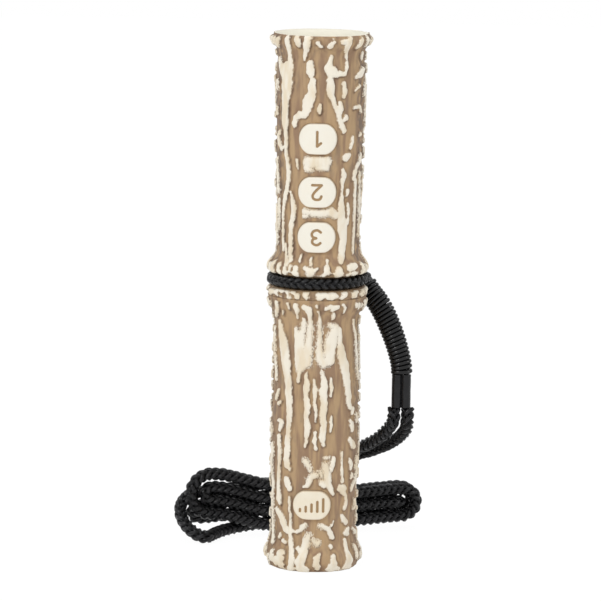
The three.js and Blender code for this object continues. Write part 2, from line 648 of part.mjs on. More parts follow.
// The ferrule: two tubes side by side, joined along their length.
function lanyardFerrule() {
  const [low, high] = [FERRULE_LOW_Z, FERRULE_LOW_Z + FERRULE_LENGTH];
  let solid = null;
  for (const side of [-1, 1]) {
    const lobe = cylinderZ(FERRULE_LOBE_D / 2, low, high, 20).translate((side * FERRULE_PITCH) / 2, 0, 0);
    solid = solid ? solid.add(toSolid(lobe)) : toSolid(lobe);
  }
  for (const side of [-1, 1]) {
    const bore = cylinderZ(FERRULE_BORE_D / 2, low - 1, high + 1, 16).translate((side * FERRULE_PITCH) / 2, 0, 0);
    solid = solid.subtract(toSolid(bore));
  }
  return solid.translate([FERRULE_END.x, FERRULE_END.y, 0]);
}

const hankAlong = new THREE.Vector3(Math.cos(HANK_TURN), Math.sin(HANK_TURN), 0);
const hankDepth = new THREE.Vector3(-Math.sin(HANK_TURN), Math.cos(HANK_TURN), 0);

function hankPlace(u, z, depth) {
  return new THREE.Vector3(HANK_X, HANK_Y, z).addScaledVector(hankAlong, u).addScaledVector(hankDepth, depth);
}

// Height of a row at the waist: the spiral drops half a pitch inwards with each half turn.
function rowZ(halfTurns) {
  const inwards = (halfTurns * HANK_PITCH) / 2;
  const middle = HANK_ROW_LOW_Z + 1.25 * HANK_PITCH;
  return halfTurns % 2 === 0 ? middle + 1.75 * HANK_PITCH - inwards : middle - 1.75 * HANK_PITCH + inwards;
}

// One layer of the hank as places along it, from the top of the waist leftwards and round.
function hankLayer(leftBulb, depth) {
  const places = [];
  const push = (u, z, forward = 0) => places.push(hankPlace(u, z, depth - forward));
  for (let half = 0; half < HANK_TURNS * 2; half++) {
    const left = half % 2 === 0;
    const sign = left ? -1 : 1;
    const bulb = left ? leftBulb : RIGHT_BULB;
    const r = bulb.r - (Math.floor(half / 2) * HANK_PITCH);
    const upward = left ? 1 : -1;
    const [fromZ, toZ] = [rowZ(half), rowZ(half + 1)];
    const last = half + 1 > HANK_TURNS * 2;
    const forward = half === 0 ? bulb.forward : 0;
    const reach = last ? bulb.reach * (HANK_TURNS * 2 - half) : bulb.reach;
    for (let k = half === 0 ? 1 : 0; k < RUN_STEPS; k++) {
      const t = k / RUN_STEPS;
      push(sign * mix(HANK_WAIST_HALF, reach, t), mix(fromZ, last ? bulb.z : bulb.z + upward * r, ease(t)));
    }
    if (last) {
      push(sign * reach, bulb.z);
      break;
    }
    for (let k = 0; k <= BIGHT_STEPS; k++) {
      const a = (Math.PI * k) / BIGHT_STEPS;
      push(sign * (reach + r * Math.sin(a)), bulb.z + upward * r * Math.cos(a), forward * THREE.MathUtils.smoothstep(a, Math.PI / 3, Math.PI));
    }
    for (let k = 1; k <= RUN_STEPS; k++) {
      const t = 1 - k / RUN_STEPS;
      push(sign * mix(HANK_WAIST_HALF, reach, t), mix(toZ, bulb.z - upward * r, ease(t)), forward * t ** 3.5);
    }
  }
  return places;
}

// The fold where the doubled cord ends, a round bight from the front layer to the back one.
function hankFold(from, to) {
  const middle = from.clone().add(to).multiplyScalar(0.5);
  const places = [];
  for (let k = 0; k <= BIGHT_STEPS; k++) {
    const a = (Math.PI * k) / BIGHT_STEPS;
    const spread = Math.cos(a) * FOLD_R;
    places.push(middle.clone().addScaledVector(hankDepth, -spread).addScaledVector(hankAlong, 3 + FOLD_R * Math.sin(a)));
  }
  return places;
}

// The hank's two ends lie on its top row, just left of the tie
const HANK_START = { u: CORD_D - HANK_WAIST_HALF, z: rowZ(0) };

function neckCordHank() {
  const [front, back] = [[FRONT_BULB, 0], [BACK_BULB, HANK_PITCH]].map(([bulb, depth]) => [
    hankPlace(HANK_START.u, HANK_START.z, depth),
    hankPlace(HANK_START.u - CORD_D, HANK_START.z, depth),
    ...hankLayer(bulb, depth),
  ]);
  const points = [...front, ...hankFold(front.at(-1), back.at(-1)), ...back.reverse()];
  console.log("neck_cord_hank least gap to itself, mm:", leastGap(points, CORD_D, 3 * CORD_D).toFixed(2));
  return tube(points, CORD_D / 2, 6);
}

// The tie: a flat band round the six strands that pass through the waist.
function hankTie() {
  const rows = 2 * HANK_PITCH + CORD_D;
  const layers = HANK_PITCH + CORD_D;
  const middleZ = HANK_ROW_LOW_Z + HANK_PITCH;
  const oval = (grow) => {
    const [w, h, r] = [layers / 2 + grow, rows / 2 + grow, CORD_D / 2 + grow];
    const shape = new THREE.Shape();
    shape.moveTo(w, -h + r).lineTo(w, h - r);
    shape.absarc(w - r, h - r, r, 0, Math.PI / 2).absarc(-w + r, h - r, r, Math.PI / 2, Math.PI);
    shape.absarc(-w + r, -h + r, r, Math.PI, Math.PI * 1.5).absarc(w - r, -h + r, r, Math.PI * 1.5, Math.PI * 2);
    return shape;
  };
  const outer = oval(GAP + TIE_THICK);
  outer.holes.push(new THREE.Path(oval(GAP).getPoints(5).reverse()));
  const geometry = new THREE.ExtrudeGeometry(outer, { depth: TIE_WIDTH, bevelEnabled: false, curveSegments: 5 });
  geometry.translate(0, 0, -TIE_WIDTH / 2);
  const middle = hankPlace(0, middleZ, HANK_PITCH / 2);
  geometry.applyMatrix4(new THREE.Matrix4().makeBasis(hankDepth, new THREE.Vector3(0, 0, 1), hankAlong).setPosition(middle));
  return toSolid(geometry);
}

// Each lead drops from the ferrule, passes behind the call and comes down to the hank's top row
const LEAD_A_ROUTE = [
  [27.3, 8.2, 50.0],
  [23.0, 13.5, 44.6],
  [16.5, 20.0, 39.8],
  [9.5, 27.0, 35.4],
  [3.0, 34.2, 30.8],
  [-2.6, 40.6, 26.4],
  [-5.2, 45.2, 22.2],
];
const LEAD_B_ROUTE = [
  [33.2, 9.2, 49.0],
  [29.0, 16.5, 43.2],
  [22.4, 24.0, 38.6],
  [14.0, 31.2, 34.6],
  [7.0, 39.0, 31.0],
  [0.4, 45.8, 27.2],
  [-4.8, 51.8, 24.0],
];
const LEAD_STEPS = 11;

// Straight out of the ferrule and straight into the hank, with the route between.
function leadPath(side, route, depth) {
  const top = FERRULE_END.clone().setZ(FERRULE_LOW_Z - GAP).add(new THREE.Vector3((side * LEAD_PITCH) / 2, 0, 0));
  const low = top.clone().setZ(top.z - CORD_D);
  const end = hankPlace(HANK_START.u + GAP, HANK_START.z, depth);
  const near = end.clone().addScaledVector(hankAlong, CORD_D * 0.75);
  const curve = new THREE.CatmullRomCurve3([low, ...route.map((p) => new THREE.Vector3(...p)), near], false, "centripetal");
  return [top, ...curve.getSpacedPoints(LEAD_STEPS), end];
}

const leads = {
  neck_cord_lead_a: leadPath(-1, LEAD_A_ROUTE, 0),
  neck_cord_lead_b: leadPath(1, LEAD_B_ROUTE, HANK_PITCH),
};

const FINISHES = {
  antler: { color: 0xb79b7a, roughness: 0.72, metalness: 0 },
  cream: { color: 0xf1e7d3, roughness: 0.62, metalness: 0 },
  hard: { color: 0x2a2a2c, roughness: 0.4, metalness: 0 },
  reed: { color: 0xdfe3e4, roughness: 0.25, metalness: 0 },
  elastic: { color: 0x1a1a1a, roughness: 0.8, metalness: 0 },
  braid: { color: 0x161616, roughness: 0.75, metalness: 0 },
  whipping: { color: 0x101010, roughness: 0.3, metalness: 0 },
  ferrule: { color: 0x2c2c2e, roughness: 0.38, metalness: 0 },
};

const deerCall = new THREE.Group();
deerCall.name = "deer_call";

function place(name, shape, finish) {
  const geometry = shape.isBufferGeometry ? shape : toGeometry(shape);
  const mesh = new THREE.Mesh(geometry, new THREE.MeshStandardMaterial(FINISHES[finish]));
  mesh.name = name;
  deerCall.add(mesh);
}

// Wall radius at a pad: the upper barrel swells from its waist to its belly.
function upperWallR(z) {
  return mix(UPPER_WAIST_R, UPPER_BELLY_R, ease((z - SWELL_LOW_Z) / (SWELL_HIGH_Z - SWELL_LOW_Z)));
}

place("lower_barrel", lowerBarrel(), "antler");
place("upper_barrel", upperBarrel(), "antler");
for (const tone of TONE_PADS) {
  place(`${tone.name}_pad`, pad(tone, upperWallR(tone.z), UPPER_BORE_R), "cream");
  place(`${tone.name}_pin`, tonePin(tone.z), "hard");
}
place("volume_pad", pad(VOLUME_PAD, LOWER_SHANK_R + 0.25, LOWER_BORE_R), "cream");
place("volume_choke", volumeChoke(), "hard");
place("tone_board", toneBoard(), "hard");
place("reed", reed(), "reed");
place("reed_wedge", reedWedge(), "cream");
place("reed_band", ring(BOARD_R + GAP + BAND_WIRE / 2, BAND_WIRE, BOARD_FLANGE_HIGH + GAP + BAND_WIRE / 2), "elastic");
place("stem_seal", ring(STEM_R - SEAL_WIRE / 2, SEAL_WIRE, SEAL_Z), "elastic");
place("lanyard_noose", lanyardNoose(), "braid");
place("noose_whipping", nooseWhipping(), "whipping");
place("lanyard_ferrule", lanyardFerrule(), "ferrule");
for (const [name, path] of Object.entries(leads)) place(name, tube(path, CORD_D / 2, 8), "braid");
place("neck_cord_hank", neckCordHank(), "braid");
place("hank_tie", hankTie(), "elastic");

export default deerCall;
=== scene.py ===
"""A mouth-blown deer call with an antler-moulded body and a braided lanyard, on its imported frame."""
import math
import random

import bmesh
import bpy
import numpy as np
from mathutils import Matrix, Vector


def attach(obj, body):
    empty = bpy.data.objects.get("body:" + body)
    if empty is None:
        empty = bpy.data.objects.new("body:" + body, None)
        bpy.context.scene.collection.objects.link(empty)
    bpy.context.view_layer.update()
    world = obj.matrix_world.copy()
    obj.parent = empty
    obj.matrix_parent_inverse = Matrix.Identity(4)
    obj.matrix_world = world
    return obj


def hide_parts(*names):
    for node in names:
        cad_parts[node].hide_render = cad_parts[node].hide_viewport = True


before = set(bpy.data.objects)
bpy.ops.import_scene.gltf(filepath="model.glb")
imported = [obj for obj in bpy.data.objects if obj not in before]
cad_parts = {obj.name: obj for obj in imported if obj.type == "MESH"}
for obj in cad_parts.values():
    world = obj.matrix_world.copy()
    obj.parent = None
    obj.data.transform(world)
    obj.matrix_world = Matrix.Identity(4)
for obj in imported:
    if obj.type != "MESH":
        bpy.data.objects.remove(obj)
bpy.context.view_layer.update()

bl_info = {
    "name": "Deer call",
    "version": (1, 0, 0),
    "blender": (4, 5, 0),
    "location": "View3D > Sidebar > Deer call",
    "description": "Makes a deer call with an antler-moulded body, thumb pads and a braided lanyard",
    "category": "Add Mesh",
}

MM = 0.001
DEG = math.pi / 180

# The camera stands a little to the right of the pads, with its place in mm before that turn
VIEW_TURN = 2.6 * DEG
CAMERA_PLACE = (-6, -1390, 309)
CAMERA_PITCH = 8.66 * DEG
CAMERA_ROLL = 0.95 * DEG
SENSOR = 36
FOCAL_PX = 3864
PICTURE_PX = 601

# Lamps as (name, place before the turn, side of the square, power), in metres and watts
LAMPS = [
    ("key_lamp", (-0.95, -1.15, 0.95), 0.3, 8.4),
    ("fill_lamp", (1.25, -0.7, 0.75), 0.14, 3.8),
    ("top_lamp", (0.05, 0.25, 1.3), 0.8, 3.2),
]
LAMP_AIM = (0, 0, 0.1)
WORLD_LIGHT = 0.56

# The paper floor, in mm
FLOOR_HALF = 2500
FLOOR_Z = -0.05

# Outside of each barrel as (radius, height) in mm, half way between hollows and plateaus
LOWER_OUTSIDE = [
    (16.5, 0.0), (17.3, 1.6), (17.8, 3.6), (17.6, 5.6), (16.7, 7.4), (16.0, 9.4), (15.8, 12.0), (15.85, 24.0),
    (16.0, 33.0), (16.1, 44.0), (16.1, 58.0), (16.0, 68.0), (15.7, 78.0), (15.55, 88.0), (15.6, 91.0),
    (16.3, 93.6), (17.3, 95.6), (17.9, 97.4), (18.0, 99.0), (17.9, 99.84),
]
LOWER_INSIDE = [(12.9, 99.84), (12.9, 60.0), (12.9, 30.0), (12.9, 17.0), (14.3, 0.0)]
UPPER_OUTSIDE = [
    (17.85, 99.92), (18.05, 100.4), (18.1, 102.0), (17.7, 102.9), (16.6, 103.3), (13.9, 103.5), (13.9, 107.9),
    (17.0, 108.1), (17.8, 108.7), (18.2, 110.4), (17.7, 112.0), (16.3, 113.7), (15.4, 115.4), (15.1, 118.0),
    (15.15, 122.0), (15.5, 134.0), (15.9, 146.0), (16.15, 160.0), (16.3, 174.0), (16.5, 181.0), (16.2, 184.6),
    (15.9, 187.2), (16.5, 189.4), (17.7, 191.0), (18.3, 192.6), (18.2, 194.0), (17.6, 195.0),
]
UPPER_INSIDE = [
    (16.4, 195.0), (15.6, 193.0), (13.6, 189.0), (13.0, 186.0), (13.0, 160.0), (13.0, 130.0), (13.0, 110.5),
    (11.4, 110.5), (11.4, 77.9), (12.55, 77.9), (12.55, 99.92),
]

# The thumb pads as (CAD node, height of its middle, height of the pad, wall radius there), in mm
PADS = [
    ("fawn_pad", 158.2, 11.1, 16.35),
    ("doe_pad", 139.0, 11.1, 15.9),
    ("young_buck_pad", 122.6, 11.1, 15.45),
    ("volume_pad", 24.7, 10.6, 16.05),
]
PAD_WIDTH = 13.7
PAD_FLAT = 0.16  # half of a pad's straight middle, as a share of its width
PAD_CLEAR = 0.2
PAD_HOLE = (-28, -9.5)  # how far along Y the tool of a pad's hole reaches
PAD_BORE = 12.7  # radius where the plug ends and its flange starts
PAD_PROUD = 0.9  # how far the crown stands out of the wall
PAD_DOME = 0.12
PAD_EDGE_R = 0.55
PAD_RINGS = 60
PAD_POINTS = 220
FLANGE_WIDER = 1.8
FLANGE_THICK = 1.3
MARK_HALF = 0.47  # half the width of a mark's stroke

# Raised cream patches on the front, each a run of (across, up, half width) in mm as the camera sees it
FRONT_PATCHES = [
    # Mouth rim and the top of the upper barrel
    [(-12.5, 193.8, 0.9), (-11.9, 190.4, 0.7), (-11.3, 187, 0.75), (-11.1, 184, 0.9), (-11.6, 181, 1.3)],
    [(-12.6, 182.4, 2.2), (-12.4, 178, 2.1), (-12.6, 175, 1.9), (-12.8, 171, 1.3), (-12.9, 167, 1.4),
     (-12.8, 163, 1.2), (-12.6, 160.5, 0.7), (-12.3, 157, 0.6), (-12.2, 152, 0.6), (-11.6, 149, 0.6),
     (-11.2, 146, 0.75), (-11.3, 142, 0.7), (-12, 137.5, 0.8), (-12.6, 134.5, 0.7), (-12.9, 131, 0.45),
     (-12.9, 122, 0.4), (-12.7, 117, 0.3)],
    [(-15, 186, 0.6), (-14.6, 183.4, 0.9), (-13.8, 181, 1.3)],
    [(-14.7, 160, 0.3), (-15.2, 158, 0.7), (-14.8, 155.5, 0.7), (-13.9, 153.6, 0.45), (-12.8, 154.8, 0.3)],
    [(-15.8, 178, 0.5), (-15.8, 175, 0.4)],
    [(-16, 168, 0.5), (-15.8, 166, 0.4)],
    [(-17.3, 193, 0.8), (-17.1, 191.6, 0.4)],
    [(-15.7, 193.8, 0.9), (-16, 190.6, 0.45)],
    [(-9, 194, 0.9), (-8.6, 192.2, 0.7), (-8.2, 191.4, 0.45)],
    [(-5.2, 194, 1.05), (-5.4, 192, 1.05), (-5.6, 190, 0.85), (-6, 188.4, 0.75), (-6.2, 186.4, 0.4)],
    [(-4, 184.8, 1.2), (-4, 182.5, 1.6), (-3.8, 181, 1.0)],
    [(-2.9, 179.3, 0.85), (-3.4, 177, 1.1), (-3.2, 174.5, 1.35), (-4.3, 172.5, 1.8), (-4.8, 170.5, 1.8),
     (-5.1, 168.5, 1.3), (-5.7, 166.7, 1.1), (-7.4, 166.8, 1.0), (-9, 165.4, 0.85), (-9.4, 163, 0.7)],
    [(-1.5, 192.6, 0.7), (-0.1, 191.5, 0.35)],
    [(4.6, 193, 0.75), (3.1, 191.6, 0.9)],
    [(8.3, 193.3, 1.1), (9.9, 193.8, 1.1), (9.3, 191.2, 0.8), (9.0, 188.6, 0.45), (9.4, 186, 0.35),
     (9.4, 183.4, 0.4), (8.7, 181.3, 0.6), (6.6, 181.7, 0.8)],
    [(3.6, 187.6, 0.55), (3.1, 185.8, 0.8), (2.6, 183.4, 1.5), (4.0, 182.3, 1.9), (5.2, 181.4, 1.2)],
    [(3.4, 179.2, 1.2), (3.6, 177, 1.4), (3.7, 174.8, 1.3), (4.3, 172.8, 0.75), (5, 170.6, 0.65),
     (6.0, 168.8, 0.8), (6.6, 167, 0.75), (7, 165, 0.75), (7.8, 163, 0.85), (8.7, 161.2, 0.75)],
    [(8.4, 178, 0.6), (8.7, 176, 0.7), (8.4, 173.4, 0.55)],
    [(7.2, 171, 0.75), (7.3, 169, 0.95), (6.9, 167.4, 0.6)],
    [(9.2, 165.6, 0.85), (8.5, 164.8, 0.45)],
    [(-0.2, 170.3, 0.55), (-0.3, 168.4, 0.85), (-0.3, 167.5, 0.55)],
    [(14.6, 193.6, 0.7), (14, 191.9, 0.75), (12.7, 190.8, 0.35)],
    [(17, 192.8, 0.6), (16.4, 191.5, 0.45)],
    [(15, 188.4, 0.45), (14.7, 186.6, 0.5)],
    [(15.4, 182.5, 0.6), (14.4, 181, 0.95), (12.7, 180.2, 0.35)],
    [(14.3, 176.8, 0.35), (12.6, 175.3, 0.35)],
    [(12.3, 169.1, 0.35), (14.4, 169.2, 0.45), (15, 167.2, 0.35)],
    [(16.2, 177, 0.4), (16, 173.5, 0.4)],
    [(14.9, 159.3, 0.4), (14.6, 158.7, 0.3)],
    [(11.9, 158.4, 0.45), (11.8, 156.6, 0.6), (11.2, 154.8, 0.55)],
    [(10.7, 152.1, 0.65), (9.5, 151.2, 0.95)],
    # Between the tone pads
    [(-4.3, 149.9, 1.8), (2.3, 149.9, 1.8)],
    [(-4.7, 147.6, 1.0), (-3.4, 147.1, 0.7)],
    [(-0.4, 147.9, 1.0), (2.6, 147.9, 1.0)],
    [(-8.4, 150.5, 0.3), (-8, 148, 0.5), (-7.8, 147.3, 0.25)],
    [(-5.0, 131.9, 0.95), (0, 131.7, 1.35), (4.5, 131.8, 1.3), (6.4, 130.6, 1.2)],
    [(-5.3, 130.1, 0.45), (-4.2, 130.4, 0.4)],
    # Long streaks beside the tone pads
    [(-15.3, 150, 0.35), (-15.2, 146, 0.35), (-15, 142, 0.5), (-14.9, 139, 0.6), (-14.8, 137.6, 0.35)],
    [(-14.5, 135, 0.35), (-14.4, 129, 0.3), (-14.4, 124, 0.3)],
    [(-15.3, 133, 0.4), (-15.1, 119, 0.4)],
    [(-10.3, 138.6, 0.45), (-9.7, 136.6, 0.4), (-9.5, 134.5, 0.6), (-9, 132.4, 0.8), (-9.3, 130, 0.75),
     (-9.9, 127, 0.75), (-10.1, 123, 0.8), (-10, 119, 0.75), (-10, 116, 0.6), (-9.8, 113.8, 0.5)],
    [(-11.9, 119, 0.35), (-11.7, 115.6, 0.45), (-11.4, 112.4, 0.6)],
    [(8.6, 147, 0.45), (8.9, 145.3, 0.8), (8.6, 143, 0.65), (8.5, 141, 0.4), (8.4, 139, 0.4),
     (8.5, 136.5, 0.6),
     (8.3, 134, 1.0), (8.4, 131, 1.4), (8.5, 128, 1.6), (8.8, 125, 1.5), (9.2, 122, 1.3), (8.8, 119, 1.2),
     (8.6, 116, 1.3), (8.3, 113.8, 0.9)],
    [(10.6, 134.6, 0.3), (10.9, 131, 0.4), (10.6, 127.6, 0.45)],
    [(10.5, 139.2, 0.55), (10.3, 137.6, 0.35)],
    [(15.1, 152, 0.4), (14.8, 149.5, 0.5), (13.6, 147.5, 0.7), (13, 145.5, 0.8), (12.5, 143.6, 0.7)],
    [(13.2, 143, 0.55), (13.2, 132, 0.6), (13, 123, 0.55), (12.8, 116.6, 0.4)],
    [(14.7, 145.5, 0.35), (14.9, 140, 0.3), (14.8, 133, 0.35), (14.9, 122, 0.3)],
    # Waist flare above the lanyard
    [(-2.4, 115.2, 0.35), (-2.7, 112.8, 0.5)],
    [(3.4, 114.6, 0.3), (3.3, 112.2, 0.75), (3.7, 110.2, 0.8)],
    [(-6.1, 116, 0.25), (-6.6, 113.9, 0.3)],
    [(-16.2, 112.2, 0.7), (-16.8, 109.8, 0.7)],
    [(-14.1, 112.2, 0.65), (-14.4, 109.9, 0.65)],
    [(-12, 111.2, 0.5), (-11.9, 109.6, 0.55)],
    [(-10.2, 112, 0.45), (-10.4, 110.6, 0.4)],
    [(-8.2, 111.4, 0.8), (-8.3, 109.6, 0.8)],
    [(-4.8, 111.8, 0.6), (-2.5, 110.6, 1.2), (-3.6, 109.5, 1.1)],
    [(-1.4, 110.9, 0.6), (-0.2, 111.5, 0.4)],
    [(7.9, 110.9, 1.2), (7.2, 109.6, 0.8)],
    [(11.6, 111.4, 0.9), (13.8, 112.2, 0.8)],
    [(12, 109.4, 0.45), (13.4, 109.6, 0.4)],
    [(16.4, 112, 0.65), (16.9, 109.8, 0.65)],
    # Collar under the lanyard
    [(-16.4, 102.3, 0.5), (-15.2, 102, 0.5), (-14.8, 101, 0.3)],
    [(-13.4, 102.4, 0.5), (-13.6, 101, 0.35)],
    [(-10.9, 102, 0.45), (-10.4, 100.7, 0.4)],
    [(-8.6, 102.4, 0.4), (-7.6, 101.8, 0.6), (-7.3, 100.7, 0.45)],
    [(-4.4, 102, 0.6), (-3.9, 100.8, 0.5)],
    [(0.6, 102, 0.4), (0.8, 100.7, 0.4)],
    [(2.3, 102.5, 0.4), (6.4, 102.2, 0.8), (5.4, 101.1, 0.7), (4.2, 100.6, 0.3)],
    [(9.6, 102, 0.55), (9.1, 100.7, 0.4)],
    [(13.4, 101.3, 0.5), (14.6, 102.3, 0.5)],
    [(16.6, 102.1, 0.45), (17, 101, 0.3)],
    [(-14.9, 98.4, 0.6), (-14.6, 95.5, 0.6), (-15, 92.6, 0.4)],
    [(-10.9, 98.4, 0.35), (-10.4, 96.9, 0.4)],
    [(-8, 98, 0.75), (-7.6, 96.6, 0.85), (-7.2, 94.6, 0.35), (-7.1, 93.3, 0.2)],
    [(-12.5, 95.2, 0.3), (-12.4, 93.8, 0.25)],
    [(-0.1, 98.2, 0.4), (0, 97.4, 0.3)],
    [(3.4, 97, 0.7), (5, 97.6, 0.8), (7.5, 97.6, 0.65), (5.4, 96.5, 0.5)],
    [(6, 95, 0.35), (6, 93.6, 0.65), (5.6, 92.9, 0.35)],
    [(9.6, 98.4, 0.45), (10.4, 97, 0.4), (9.8, 95.3, 0.3)],
    [(14.4, 98, 0.4), (14.6, 97, 0.3)],
    [(15.4, 97.6, 0.5), (15.2, 96, 0.45)],
    # Broad smooth slabs on the upper half of the lower barrel
    [(-4.7, 97.4, 0.8), (-3.3, 96.8, 1.0), (-2.7, 94.6, 0.75), (-2.3, 92, 0.6), (-2.5, 88, 0.85),
     (-3, 84, 1.1),
     (-3, 80, 1.4), (-3.2, 76.6, 1.2)],
    [(-7.6, 89, 0.45), (-7.3, 84, 0.75), (-7.1, 79, 0.7), (-6.9, 74, 0.45)],
    [(-4.8, 92.6, 0.7), (-4.9, 89, 0.85), (-5.6, 86.4, 1.2), (-6.2, 83, 1.6), (-5.4, 79.5, 2.0),
     (-5, 76.4, 1.7),
     (-6.2, 73.6, 0.7), (-6.4, 70, 0.4)],
    [(0.6, 96, 0.3), (1, 93.5, 0.45), (1, 90, 0.55), (1.2, 86, 0.7), (1.2, 82, 0.9), (1.5, 78.6, 1.35),
     (2.8, 76.9, 1.4)],
    [(4.8, 90.6, 0.6), (7.2, 90, 0.9), (6.2, 87, 1.7), (5.4, 84, 2.0), (4.9, 80.5, 1.9), (4.8, 78, 1.8)],
    [(8.3, 89.4, 0.6), (8.7, 84, 0.95), (9.4, 80, 1.3), (10.4, 76, 1.5), (11.2, 72, 1.4), (11.6, 68, 1.2),
     (12.3, 64.6, 1.1), (12.2, 61.8, 0.9), (12.9, 59.6, 0.5)],
    [(-13.4, 90.6, 0.6), (-12.9, 87, 1.25), (-12.2, 84, 1.7), (-11.6, 80, 1.8), (-11.1, 76, 1.6),
     (-10.6, 72, 1.35),
     (-10, 68, 1.1), (-9.8, 64, 1.1), (-9.6, 60, 1.0), (-9.6, 56, 0.85), (-9.7, 52, 0.75), (-10, 48, 0.85),
     (-10.1, 45, 0.95), (-10.4, 41, 0.95), (-10.2, 38.6, 1.1), (-9.1, 37.4, 0.5)],
    [(-15.4, 88, 0.35), (-15.3, 80, 0.35), (-15, 76, 0.45), (-14.6, 72, 0.55), (-14.6, 69, 0.4)],
    [(13.4, 92, 0.45), (13.6, 89, 0.45), (14.4, 86, 0.45), (14.9, 80, 0.45), (15.2, 74, 0.45),
     (15.6, 70, 0.4)],
    # Plain streaks that take the middle of the lower barrel
    [(-3.6, 72.4, 0.5), (-3.2, 69, 0.95), (-3.5, 65, 0.75), (-2.9, 61, 1.05), (-3.3, 57, 0.8),
     (-2.6, 53, 1.1),
     (-3.1, 49, 0.7), (-3.5, 46.2, 0.4)],
    [(-0.6, 71, 0.35), (-0.2, 67.4, 0.6), (-0.4, 63, 0.45), (0.3, 59, 0.6), (0.1, 55.6, 0.3)],
    [(0.2, 51.6, 0.4), (-0.2, 48.6, 0.75), (0.5, 45.6, 0.45)],
    [(2.4, 73, 0.45), (3.1, 70, 1.15), (2.8, 66, 1.35), (3.4, 62, 1.0), (2.7, 58, 1.3), (3.2, 54, 0.9),
     (2.6, 50, 1.1), (3.3, 46.8, 0.5)],
    [(5.6, 71.2, 0.35), (5.9, 68, 0.55), (5.5, 64.8, 0.3)],
    [(5.8, 57.4, 0.3), (6.1, 54.4, 0.6), (5.6, 51.8, 0.35)],
    # Sides of the lower half
    [(-13.6, 65.6, 0.35), (-14.2, 63.4, 0.55), (-14.4, 62, 0.3)],
    [(-13.6, 60.8, 0.55), (-12.8, 61.5, 0.35)],
    [(-13.7, 54.6, 0.45), (-12.1, 54.4, 0.6), (-12.6, 53, 0.7), (-13, 51.2, 0.5)],
    [(-13.2, 48.6, 0.8), (-13, 45.5, 0.75), (-12.8, 43, 0.75), (-13, 39, 0.55), (-13, 32, 0.55),
     (-13, 29, 0.65),
     (-12.8, 26, 1.1), (-12.6, 24.4, 0.8)],
    [(-16.2, 52, 0.45), (-16, 49, 0.35)],
    [(-15.7, 44.6, 0.8), (-15.6, 42, 0.55), (-16, 38, 0.6), (-15.6, 34, 0.5), (-15, 30, 0.45),
     (-15.4, 26, 0.5),
     (-15.3, 22, 0.6), (-15, 17, 0.5), (-14.9, 13, 0.45), (-15, 9, 0.6)],
    [(13, 55, 0.4), (13.6, 53.5, 1.0), (13.8, 51.6, 0.7)],
    [(13, 48, 0.7), (13.9, 46.4, 0.95), (14.6, 45, 0.7)],
    [(15.3, 57, 0.35), (15.5, 54, 0.3)],
    [(13.9, 59.2, 0.35), (13.7, 57.5, 0.4)],
    [(-10.3, 33.4, 1.0), (-9.8, 31.6, 1.05), (-9.1, 30.3, 0.85)],
    [(-9, 27, 0.35), (-8.8, 25, 0.65), (-8.8, 22.6, 0.45), (-8.5, 20.4, 0.3), (-8.5, 17, 0.4),
     (-8.3, 13, 0.6),
     (-8, 9, 0.65), (-7.9, 5, 0.75), (-8, 2.6, 0.95), (-8.4, 1, 0.9)],
    [(-13.6, 21.4, 0.7), (-12, 19.4, 1.1), (-11, 17, 1.2), (-10.3, 15, 1.1), (-9.5, 14.3, 0.6),
     (-8, 14.6, 0.45),
     (-6.2, 14.4, 0.55), (-5, 15.1, 0.55), (-4, 16.6, 0.85), (-3.3, 17.4, 0.55)],
    [(-11, 10.5, 0.6), (-10.4, 10.2, 0.55)],
    [(-12.1, 12.8, 0.4), (-12.6, 11.4, 0.3)],
    [(-11.3, 6.5, 0.8), (-12.4, 6.0, 0.9), (-12, 4.4, 1.1), (-13.4, 2.8, 1.4), (-11.6, 1.8, 1.0)],
    [(-15.2, 5.8, 0.7), (-15.4, 3.4, 0.9)],
    [(-1.6, 13.6, 0.85), (-2.4, 11.6, 1.1), (-3.2, 8.6, 1.3), (-4, 5.6, 1.5), (-5, 3.4, 1.6),
     (-4.2, 1.6, 1.5),
     (-3, 1.4, 1.1)],
    [(-5.6, 8.6, 0.5), (-5.1, 7.2, 0.5)],
    [(-3.3, 41, 0.85), (-2.3, 39.2, 0.85), (-1.7, 37.5, 0.55)],
    [(1, 35.6, 0.65), (-0.4, 35.6, 0.85), (-1.6, 34.8, 0.85), (-1.8, 33, 0.85), (-2.8, 31.6, 0.75),
     (-3.6, 31.4, 0.5)],
    [(4.2, 39.2, 0.9), (4.6, 37, 1.1), (4.9, 34.6, 1.2), (5.1, 32.6, 1.2), (6.2, 30.4, 1.0), (7, 28.6, 0.45)],
    [(2.2, 37, 0.35), (2.8, 35.2, 0.4)],
    [(2.9, 32.6, 1.0), (3.7, 31.7, 0.8)],
    [(7.4, 41.8, 0.5), (6.9, 39.4, 0.7), (6.2, 37.6, 0.45)],
    [(3.9, 42, 0.35), (5.4, 42.1, 0.4)],
    [(10, 44, 0.25), (10.1, 40, 0.35), (10.2, 36, 0.4), (10.4, 33, 0.35)],
    [(9.6, 30.6, 0.9), (11, 30.4, 1.0), (10.6, 29.2, 0.9), (11.6, 27.4, 0.6), (12, 25.4, 0.6),
     (11.4, 23, 0.65)],
    [(10.4, 20.2, 0.45), (11.2, 18.8, 0.75), (12, 17.7, 0.75)],
    [(13, 40.6, 0.45), (13.6, 38.6, 1.0), (13.4, 37.4, 0.7)],
    [(14, 34.8, 0.55), (13.6, 33.8, 0.35)],
    [(15.7, 41, 0.35), (15.4, 38, 0.4), (15.6, 35, 0.4), (15.2, 32, 0.45), (14.1, 30.4, 0.45),
     (13.8, 29, 0.3)],
    [(15, 25, 0.45), (15.5, 23, 0.55), (14.9, 21.7, 0.35)],
    [(12.6, 14.6, 0.8), (11.9, 13.7, 0.8), (12.8, 13, 0.45)],
